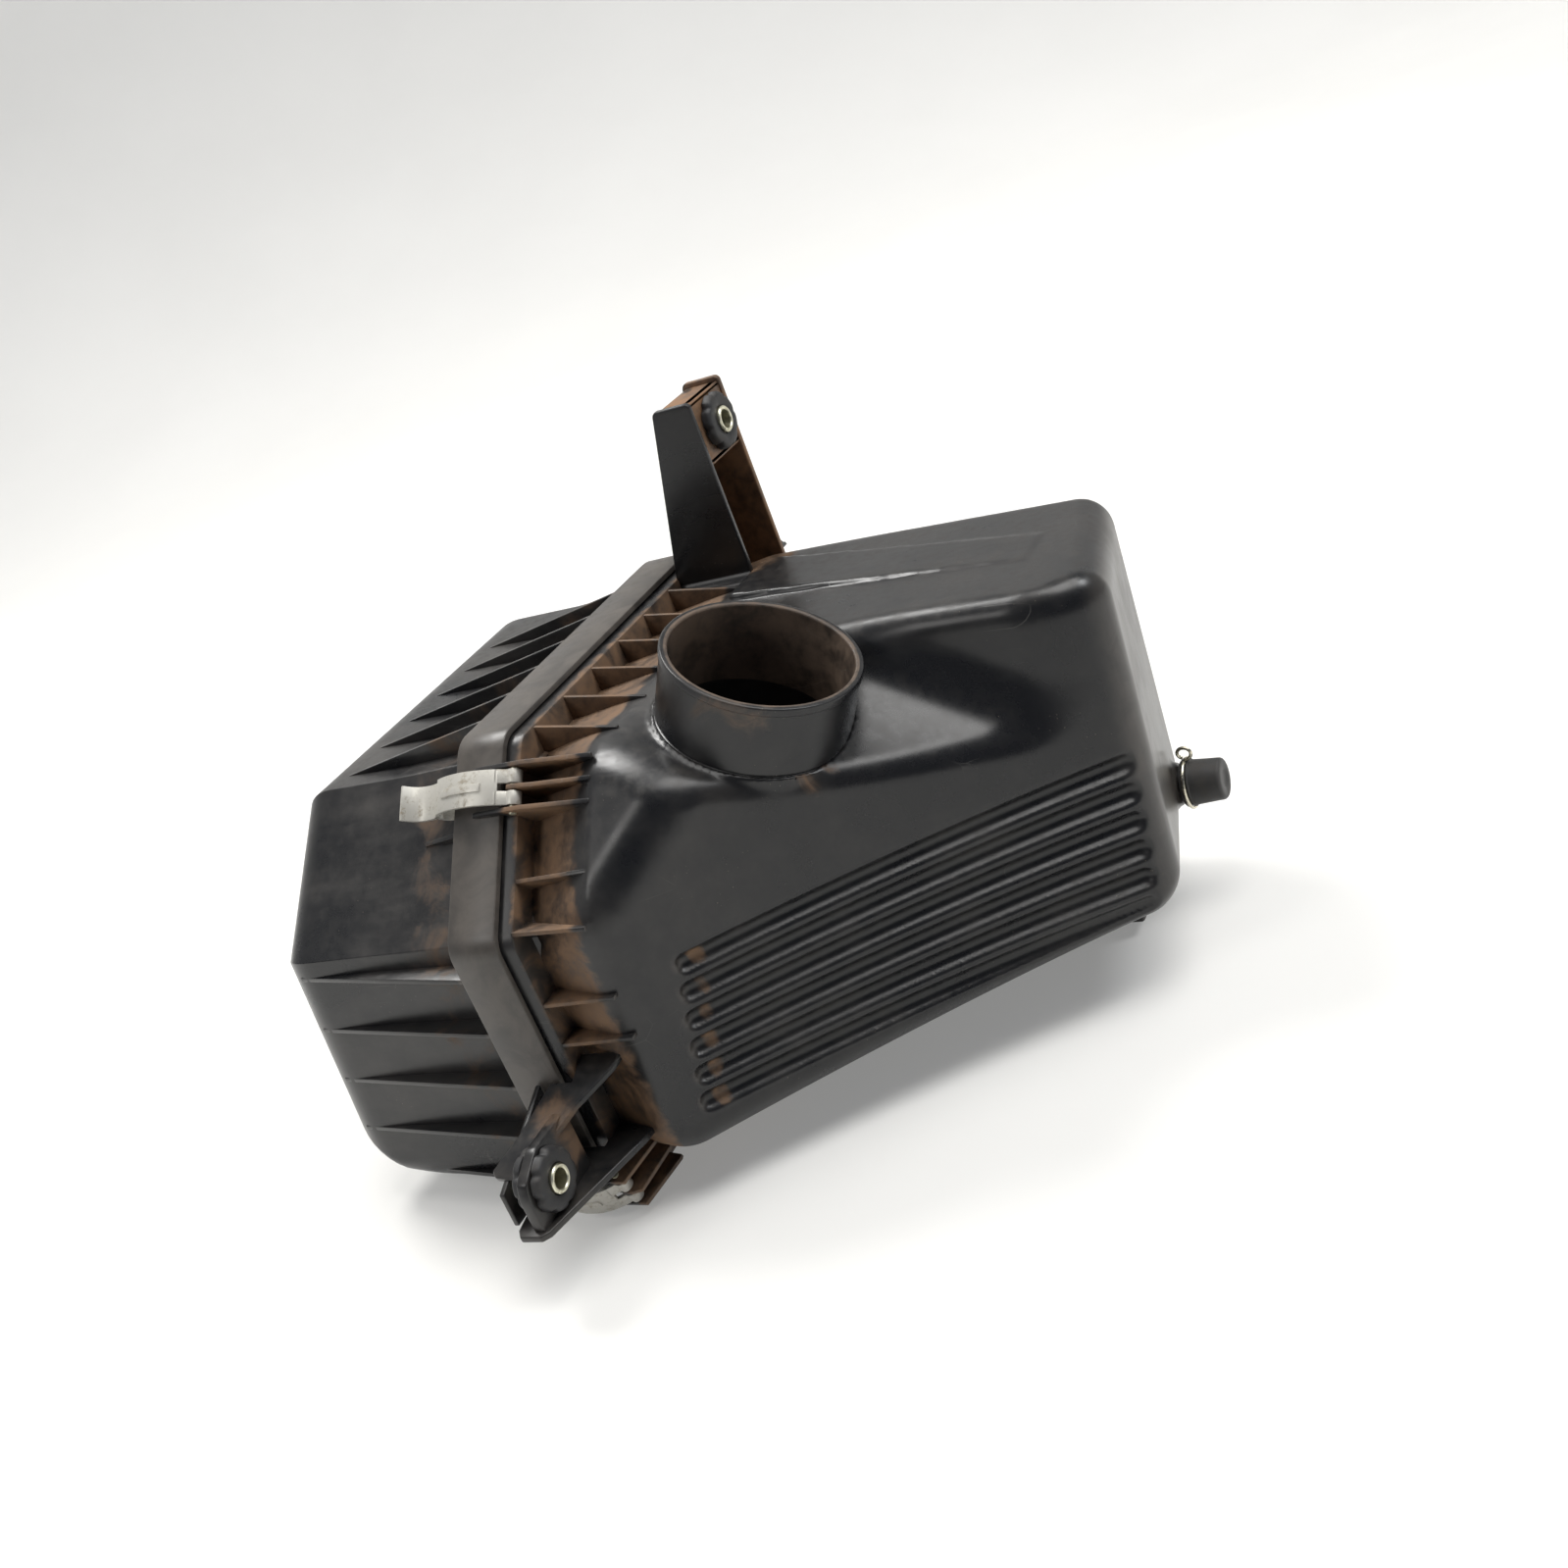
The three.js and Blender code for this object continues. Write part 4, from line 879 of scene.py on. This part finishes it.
def holed_plate(build, outline, centre, start, end):
    """A plate across X whose outline goes round a grommet's hole; points are (y, z)."""
    inner = ring_points(centre, EYE_HOLE, 48)
    outer = []
    for y, z in inner:
        dy, dz = y - centre[0], z - centre[1]
        reach = math.inf
        for (ay, az), (by, bz) in zip(outline, outline[1:] + outline[:1]):
            ey, ez = by - ay, bz - az
            det = dy * ez - dz * ey
            if abs(det) < 1e-9:
                continue
            t = ((ay - centre[0]) * ez - (az - centre[1]) * ey) / det
            s = ((ay - centre[0]) * dz - (az - centre[1]) * dy) / det
            if t > 0 and -1e-9 <= s <= 1 + 1e-9:
                reach = min(reach, t)
        outer.append((centre[0] + reach * dy, centre[1] + reach * dz))
    loops = ((start, inner), (start, outer), (end, outer), (end, inner))
    build.rings([[(x, *p) for p in loop] for x, loop in loops], close=True)


def upper_arm():
    web, front, back = ARM_WEB, UPPER_ARM["front"], UPPER_ARM["back"]
    root = -BODY_INSET["top"] - 6

    def side(top):
        tip = arc(29.2, top - 3.2, 3.2, 90, 165, 5)
        edge = [(2, root), (45, root)] + arc(43.4, top - 2.6, 2.6, 0, 90, 5)
        return edge + tip
    b = Build()
    b.prism_y(side(74.6), front - web / 2, front + web / 2)
    b.prism_y(side(76), back - web / 2, back + web / 2)
    b.prism_y([(3.5, root), (7, root), (30, 68), (30, 71), (27, 68)], front, back)
    x, y, z = UPPER_EYE
    right = x + EYE_PLATE
    holed_plate(b, [(front, 44), (back, 44), (back, 73.5), (front, 73.5)], (y, z), x, right)
    b.prism_y([(23, 36), (right, 44), (right, 47), (24, 41)], front, back)
    b.prism_y([(29, 71), (right, 71), (right, 73.5), (28, 73.5)], front, back)
    arm = b.make("case_arm_upper", ARM, "case")
    bevel(arm, 0.8, 3)
    return arm


def arm_fillets():
    """Small hollow fillets where the upper arm's webs stand on the top."""
    b = Build()
    top = -BODY_INSET["top"] - 0.6
    r = 5.0
    for y, side in ((UPPER_ARM["front"], -1), (UPPER_ARM["back"], 1)):
        start = y + side * 1.2
        profile = [(start, top + r)]
        for turn in np.radians((20, 40, 60, 80)):
            profile.append((start + side * r * (1 - math.cos(turn)), top + r * (1 - math.sin(turn))))
        profile += [(start + side * r, top - 1.5), (start, top - 1.5)]
        b.rings([[(x, py, pz) for py, pz in profile] for x in (6.0, 44.6)])
    return b.make("case_arm_fillets", ARM, "case", angle=35)


def lower_arm():
    web, bottom = ARM_WEB, LOW_ARM_BOTTOM
    b = Build()
    fall = np.array([0, -0.929, -0.371]) / math.hypot(0.929, 0.371)
    down = np.cross((1.0, 0, 0), fall)
    outline = [(7, 7), (7, -6), (28, -6), (25, 1.6), (12.7, 18.4), (5, 34.6), (-1, 48), (-5, 50.5), (-16, 49),
               (-18.5, 46), (-11, 30), (-4, 8), (-4, 7)]
    start = np.array([0, 5.0, -125.6])
    b.rings([[start + np.array([u, 0, 0]) + fall * v + down * depth for u, v in outline]
             for depth in (0, web)])
    foot = [(7, -0.8), (7, SKIRT_INSET + 3), (27, SKIRT_INSET + 3), (25, 3), (9, -52), (6, -55), (-4, -55),
            (-7, -51), (-14, -8), (-14, -0.8)]
    b.prism_z(foot[::-1], bottom - web / 2, bottom + web / 2)
    b.prism_x([(-0.8, bottom), (-0.8, -129), (-47, -147.5), (-47, bottom)], -12, -9.5)
    x, y, z = LOWER_EYE
    face = [(-12, bottom), (-12, -133.5), (-37, -133.5), (-50, -140), (-52.5, -147), (-52.5, bottom)]
    holed_plate(b, face, (y, z), x, x + EYE_PLATE)
    arm = b.make("case_arm_lower", LOW_ARM, "case")
    bevel(arm, 0.7, 3)
    return arm


# ---------------- end cover


def cover_end(z):
    return COVER["top"] + COVER["lean"] * z


def drawn_in(depth, along, up):
    """How far an edge has drawn in at a depth below the end, for a quarter-ellipse edge."""
    left = 1 - min(depth / along, 1.0)
    return up * (1 - math.sqrt(1 - left * left))


def cover_insets(extra, extra_low=None):
    """How far the cup stands in from the rim on each side, with less along the bottom."""
    insets = even(COVER["inset"] + extra)
    insets["bottom"] = COVER["bottom"] + (extra if extra_low is None else extra_low)
    return insets


def oval_towards(y, z, grow):
    """The point of the inlet's outline that lies towards (y, z) from its centre."""
    oy, oz, r = INLET["y"], INLET["z"], INLET["round"]
    length = math.hypot(y - oy, z - oz)
    uy, uz = (y - oy) / length, (z - oz) / length

    def inside(t):
        ay = max(abs(uy * t) - (INLET["half_y"] - r), 0.0)
        az = max(abs(uz * t) - (INLET["half_z"] - r), 0.0)
        return math.hypot(ay, az) < r + grow
    reach, _ = bisect(inside, 0.0, 100.0)
    return oy + uy * reach, oz + uz * reach


def cover_cup():
    """The band, cup wall and end as one closed sweep round the rim, with a hole for the inlet."""
    b = Build()
    w = RIM["width"]
    steps = [(k / 18) ** 1.7 for k in range(19)]
    rings = []

    def level(x, insets):
        rings.append([(x, y, z) for y, z in rim(insets)])

    def end_level(share, wall):
        along, up, edge = (COVER[key] - wall for key in ("low_along", "low_up", "round"))
        depth = share * along
        thick = COVER["draft"] + wall
        insets = cover_insets(thick + drawn_in(depth, edge, edge), thick + drawn_in(depth, along, up))
        rings.append([(cover_end(z) + wall + depth, y, z) for y, z in rim(insets)])

    def hole(depth):
        points = [oval_towards(y, z, 0.4) for y, z in rim(even(44))]
        rings.append([(cover_end(z) + depth, y, z) for y, z in points])

    hole(0.0)
    for share in steps:
        end_level(share, 0.0)
    for x, extra in ((-40, 0.6), (-w - 3, 0.2), (-w - 0.8, 0.0), (-w, 0.0)):
        level(x, cover_insets(extra))
    for x, inset in ((-w, 0.9), (-w + 0.3, 0.3), (-w + 1.0, 0.0), (-1.0, 0.0), (-0.3, 0.3), (0, 1.0),
                     (0, 2.5), (-COVER["recess"], 2.5)):
        level(x, inset)
    level(-COVER["recess"], cover_insets(WALL))
    level(-w - 1, cover_insets(WALL))
    for share in steps[::-1]:
        end_level(share, WALL)
    hole(WALL)
    b.rings(rings, close=True)
    return b.make("cover_cup", COVER_BLACK, "case", angle=35)


COVER_TOP_RIBS = {"first": 79.0, "pitch": 25.3, "count": 6}
COVER_FRONT_RIBS = {"first": -77.5, "pitch": -27.0, "count": 4}
COVER_LOW_RIB = {"z": -185.5, "from": -100, "to": -40}


def cover_ribs():
    b = Build()
    w = RIM["width"]
    root = COVER["inset"] + COVER["draft"] + 1
    tip = -w - 84
    for y in rib_places(COVER_TOP_RIBS):
        side = [(tip, -root), (1 - w, -root), (1 - w, -0.4), (-w, -0.2), (-w - 40, -7.0), (tip, 0.4 - root)]
        b.prism_y(side, y - 1, y + 1)
    for z in rib_places(COVER_FRONT_RIBS):
        tip = cover_end(z) + 14
        b.prism_z([(tip, root + 1), (tip, root), (-w, 0.2), (1 - w, 0.4), (1 - w, root)], z - 1, z + 1)
    z, start, end = COVER_LOW_RIB.values()
    b.prism_z([(start, root + 3), (start, root + 1), (end, 7.0), (end, root + 3)], z - 1, z + 1)
    b.across_rim(STATIONS["front_upper"], [(-50, -14), (-23, -14), (-23, -6), (-26, -5), (-48, -11.5)], 2, 14)
    ribs = b.make("cover_ribs", COVER_BLACK, "case")
    bevel(ribs, 0.4, 2)
    return ribs


def oval(grow):
    """The inlet's rounded outline, grown by so much."""
    points = []
    r = INLET["round"]
    for sy, sz, start in ((1, 1, 0), (-1, 1, 90), (-1, -1, 180), (1, -1, 270)):
        y, z = INLET["y"] + sy * (INLET["half_y"] - r), INLET["z"] + sz * (INLET["half_z"] - r)
        points += arc(y, z, r + grow, start, start + 90, 10)
    return points


INLET_FACE = cover_end(INLET["z"] - INLET["half_z"]) - INLET["length"]


def inlet_collar():
    b = Build()
    depth = COVER["top"] - 2
    face = INLET_FACE
    sweep(b, [(face, 0.4), (face, WALL - 0.4), (face + 0.6, WALL), (face + 9, WALL + 0.1),
              (depth, WALL + 0.4), (depth, 0.0), (face + 0.6, 0.0)], oval)
    return b.make("cover_inlet", COVER_BLACK, "case", angle=35)


def inlet_seal():
    b = Build()
    x0, x1, a, c = INLET_FACE, INLET_FACE + 8, WALL + 0.3, WALL + 8
    sweep(b, [(x0, a), (x0, c - 1.2), (x0 + 0.4, c - 0.4), (x0 + 1.2, c), (x1 - 1.2, c), (x1 - 0.4, c - 0.4),
              (x1, c - 1.2), (x1, a)], oval)
    seal = b.make("inlet_seal_foam", FOAM, "case", angle=40)
    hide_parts("inlet_seal")
    return seal


# ---------------- clips and small parts


def strip_outline(line, thickness):
    sides = []
    for sign in (-1, 1):
        side = []
        for i, (x, h) in enumerate(line):
            before, after = line[max(i - 1, 0)], line[min(i + 1, len(line) - 1)]
            dx, dh = after[0] - before[0], after[1] - before[1]
            scale = sign * thickness / 2 / math.hypot(dx, dh)
            side.append((x - dh * scale, h + dx * scale))
        sides.append(side)
    return sides


def clip_strip(b, place, line, start, end):
    """One bent steel strip between two places along the rim."""
    point, out, along = place
    near, far = strip_outline(line, CLIP["thick"])
    rings = []
    for a, c in zip(near, far):
        corners = ((a, start), (c, start), (c, end), (a, end))
        rings.append([point + np.array([x, 0, 0]) + out * h + along * s for (x, h), s in corners])
    b.rings(rings)


def make_clip(name):
    place = STATIONS[name]
    b = Build()
    half = CLIP["width"] / 2
    curl = CLIP["pin_r"] + 0.3 + CLIP["thick"] / 2
    loop = arc(CLIP["pin_x"], CLIP["lift"], curl, -140, 80, 18)
    over = arc(-13, -27, 35, 58, 117, 26)
    gap = (CLIP["ear"] + 1.4) / 2
    cut_x = CLIP["pin_x"] - 5
    lead = loop + [p for p in over if p[0] >= cut_x - 1.5]
    rest = [p for p in over if p[0] < cut_x]
    for start, end in ((-half, -gap), (gap, half)):
        clip_strip(b, place, lead, start, end)
    tail = rest + [(-33, -0.5), (-32.2, -2.6)] + arc(-28.6, -2.2, 3.6, 185, 322, 12)
    clip_strip(b, place, tail, -half, half)
    tab = [(-30.2, 1.4), (-33.5, -0.3), (-36.5, -1.2), (-39.5, -1.5), (-42, -1.4),
           (-44.4, -0.5), (-46.2, 0.8), (-47.6, 2.4), (-48.6, 4.4)]
    clip_strip(b, place, tab, -half, half)
    bead = [p for p in over if -26 < p[0] < -4]
    clip_strip(b, place, [(x, h + 0.7) for x, h in bead], -1.6, 1.6)
    clip = b.make(f"spring_clip_{name}", CLIP_STEEL, f"clip_{name}")
    bevel(clip, 0.3, 2, 40)
    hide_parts(f"clip_{name}")
    return clip


def make_pin(name):
    point, out, along = STATIONS[name]
    end = CLIP["spread"] + CLIP["ear"] / 2 + 0.6
    centre = point + np.array([CLIP["pin_x"], 0, 0]) + out * CLIP["lift"]
    b = Build()
    b.tube([centre + along * s for s in (-end, -end + 0.3, end - 0.3, end)], CLIP["pin_r"], 20)
    pin = b.make(f"hinge_pin_{name}", ZINC, "case", angle=40)
    bevel(pin, 0.25, 2, 50)
    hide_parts(f"clip_pin_{name}")
    return pin


def make_grommet(name, eye):
    outer, neck, lip, bore = 13.2, 9.0, GROMMET_LIP, 6.3
    left, right = -lip - 0.3, EYE_PLATE + lip + 0.3
    far = EYE_PLATE + 0.3
    profile = [(left, bore + 0.4), (left + 0.4, bore), (right - 0.4, bore), (right, bore + 0.4),
               (right, outer - 3.2)] + arc(right - 2.0, outer - 2.2, 2.0, 10, 90, 5)
    profile += [(far + 0.3, outer), (far, outer - 0.4), (far, neck), (-0.3, neck), (-0.3, outer - 0.4),
                (-0.6, outer)] + arc(left + 2.0, outer - 2.2, 2.0, 90, 170, 5) + [(left, outer - 3.2)]

    def lobed(r, turn):
        if r < neck + 1:
            return r
        dip = 0.5 + 0.5 * math.cos(8 * turn)
        return r - 1.2 * dip ** 6 * (r - neck) / (outer - neck)
    b = Build()
    b.turned(profile, eye, (1, 0, 0), 96, lobed)
    ring = b.make(f"rubber_{name}", RUBBER, "case", angle=50)
    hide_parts(name)
    return ring


def make_bush(name, eye):
    """A rolled steel sleeve with chamfered ends and a seam."""
    outer, bore = 6.0, 4.25
    start, end = -GROMMET_LIP - 1.5, EYE_PLATE + GROMMET_LIP + 1.5
    profile = [(start, bore + 0.4), (start + 0.4, bore), (end - 0.4, bore), (end, bore + 0.4),
               (end, outer - 0.5), (end - 0.5, outer), (start + 0.5, outer), (start, outer - 0.5)]

    def seam(r, turn):
        gap = abs((turn - 2.2 + math.pi) % (2 * math.pi) - math.pi)
        if gap > 0.08:
            return r
        return r - 0.35 if r > 5 else r + 0.35
    b = Build()
    b.turned(profile, eye, (1, 0, 0), 96, seam)
    sleeve = b.make(f"sleeve_{name}", ZINC, "case", angle=35)
    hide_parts(name)
    return sleeve


def drain_cap():
    y, z, tip = NIPPLE["y"], NIPPLE["z"], NIPPLE["tip"]
    bore = NIPPLE["outer"] + 1.1
    back, end = 212.5, tip + 4.5
    profile = [(back + 0.2, bore), (tip + 0.3, bore), (tip + 0.3, 0.01), (end - 0.5, 0.01), (end - 0.5, 3.6),
               (end, 4.2), (end, 7.2)] + arc(end - 1.8, 7.6, 1.8, 0, 80, 5)
    profile.append((tip - 4, 9.8))
    ribbing = [(4.2, 10.2), (3.8, 10.7), (3.4, 10.7), (3.1, 10.2), (2.9, 10.0),
               (1.6, 10.0), (1.3, 10.2), (1.0, 10.7), (0.4, 10.7), (0.0, 10.3)]
    profile += [(back + x, size) for x, size in ribbing]
    b = Build()
    b.turned(profile, (0, y, z), (1, 0, 0), 64)
    cap = b.make("drain_cap_rubber", CAP_RUBBER, "drain", angle=45)
    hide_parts("drain_cap")


def drain_clamp():
    """A turn of wire round the cap, ending in a small loop on top."""
    y, z, x = NIPPLE["y"], NIPPLE["z"], CLAMP["x"]
    r = CLAMP["cap"] + CLAMP["wire"]
    path = [(x, *p) for p in arc(y, z, r, 96, 444, 59)]
    loop_start, loop_sweep = -1.745, 6.1
    for t in np.radians(np.linspace(-100, 250, 26)):
        share = (t - loop_start) / loop_sweep
        side = x + 1.0 + 3 * math.cos(t) - 0.5 * share
        path.append((side, y + 1.2 * share, z + r + 3.4 + 2.7 * math.sin(t)))
    b = Build()
    b.tube(path, CLAMP["wire"], 12)
    wire = b.make("drain_clamp_wire", WIRE, "drain")
    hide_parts("drain_clamp")


def case_nipple():
    y, z, tip = NIPPLE["y"], NIPPLE["z"], NIPPLE["tip"]
    b = Build()
    o, i, root = NIPPLE["outer"], NIPPLE["bore"], NIPPLE["root"]
    barb = [(root, i), (tip, i), (tip, o - 0.8), (tip - 5, o + 0.7), (tip - 7, o), (root, o)]
    b.turned(barb, (0, y, z), (1, 0, 0), 48)
    return b.make("case_nipple", CASE, "case", angle=35)


def filter_frame():
    b = Build()
    x0, x1, a, c = -COVER["recess"] + 0.3, FLANGE["from"] - 0.3, 2.9, 17.0
    profile = [(x0, a + 0.6), (x0 + 0.6, a), (x0 + 5, a), (x0 + 5.4, a + 0.5), (x0 + 6.2, a + 0.5),
               (x0 + 6.6, a), (x1 - 0.6, a), (x1, a + 0.6), (x1, c - 0.5), (x1 - 0.5, c), (x0 + 0.5, c),
               (x0, c - 0.5), (x0, 11.2), (x0 + 0.7, 10.8), (x0 + 0.7, 9.2), (x0, 8.8)]
    sweep(b, profile, rim)
    seal = b.make("filter_frame_rubber", FOAM, "case", angle=35)
    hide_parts("filter_frame")
    return seal


# ---------------- assembly


body = case_body()
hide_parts("main_case")
moulding = [body, case_outlet(), case_flange(), case_ribs(), upper_arm(), arm_fillets(), lower_arm()]
drain_cap()
drain_clamp()
moulding.append(case_nipple())
cup = cover_cup()
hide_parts("end_cover")
for piece in (cup, cover_ribs(), inlet_collar()):
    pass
inlet_seal()
filter_frame()
for clip_name in CLIPS:
    make_clip(clip_name)
    make_pin(clip_name)
for eye_name, eye_place in (("upper", UPPER_EYE), ("lower", LOWER_EYE)):
    make_grommet(f"grommet_{eye_name}", eye_place)
    make_bush(f"bush_{eye_name}", eye_place)
for node_name, look in (("filter_media", PAPER), ("filter_grid", CASE)):
    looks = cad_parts[node_name].data.materials
    looks.clear()
    looks.append(look)

# ---------------- camera, floor and light

RIGHT = Vector((0.862, 0.368, -0.348))
BACK = Vector((0.489, -0.782, 0.387))
CAMERA_AT = (464.0, -497.6, 235.3)

camera_data = bpy.data.cameras.new("camera")
camera_data.lens = 42.9
camera_data.sensor_width = 36
camera_data.clip_start = 0.01
camera = link("camera", camera_data)
back = BACK.normalized()
right = (RIGHT - back * RIGHT.dot(back)).normalized()
up = back.cross(right)
turn = Matrix((right, up, back)).transposed()
camera.matrix_world = Matrix.Translation(Vector(to_row(CAMERA_AT))) @ turn.to_4x4()
bpy.context.scene.camera = camera


def backdrop():
    """A pale floor that curves up into a wall behind the object, square to the view."""
    n = Surface("backdrop_white")
    mottle = n.noise(3.0, 4, 0.5)
    color = n.mix(n.times(n.step(mottle, 0.3, 0.7), 0.6), (0.63, 0.625, 0.605), (0.59, 0.585, 0.565))
    material = n.finish(color, 0.8, Emission_Color=(1, 1, 0.98, 1), Emission_Strength=0.24)
    away = Vector((-back.x, -back.y, 0)).normalized()
    across = Vector((-away.y, away.x, 0))
    near, bend, radius, tall, half_wide = -4.0, 2.0, 1.0, 3.6, 6.0
    profile = [(near, 0.0)] + arc(bend, radius, radius, -90, 0, 16) + [(bend + radius, tall)]
    points = [away * u + across * side + Vector((0, 0, v))
              for u, v in profile for side in (-half_wide, half_wide)]
    faces = [(2 * i, 2 * i + 1, 2 * i + 3, 2 * i + 2) for i in range(len(profile) - 1)]
    mesh = bpy.data.meshes.new("backdrop")
    mesh.from_pydata([tuple(p) for p in points], [], faces)
    mesh.materials.append(material)
    mesh.shade_smooth()
    obj = link("backdrop", mesh)


def area_light(name, place, size, power, color):
    """A round light that points at the middle of the housing."""
    data = bpy.data.lights.new(name, "AREA")
    data.shape = "DISK"
    data.size = size
    data.energy = power
    data.color = color
    obj = link(name, data)
    obj.location = place
    obj.rotation_euler = (Vector((0, 0, 0.1)) - Vector(place)).to_track_quat("-Z", "Y").to_euler()


def sky():
    """A dim room, darkest on the camera's side, with a small bright patch nearly overhead."""
    world = bpy.data.worlds.new("world")
    bpy.context.scene.world = world
    world.use_nodes = True
    n = Nodes(world.node_tree, "Generated")

    def towards(direction, low, high):
        return n.step(n.vector("DOT_PRODUCT", n.place, Vector(direction).normalized(), "Value"), low, high)

    room = n.mix(towards((0.55, -0.83, 0.1), -0.2, 0.75), (0.42, 0.43, 0.45), (0.07, 0.08, 0.11))
    whole = n.mix(towards((0.30, 0.08, 0.95), 0.915, 0.985), room, (8.4, 8.3, 8.15))
    light = n.tree.nodes["Background"]
    n.put(light.inputs["Color"], whole)
    n.put(light.inputs["Strength"], 0.85)


backdrop()
sky()
area_light("key", (-0.8, 0.5, 1.8), 0.7, 26, (1.0, 0.99, 0.97))
area_light("side", (1.5, 0.5, 1.6), 0.6, 13, (0.96, 0.98, 1.0))
area_light("front", (-0.9, -1.4, 1.5), 0.8, 9, (1.0, 0.98, 0.95))
bpy.context.scene.view_settings.view_transform = "Standard"
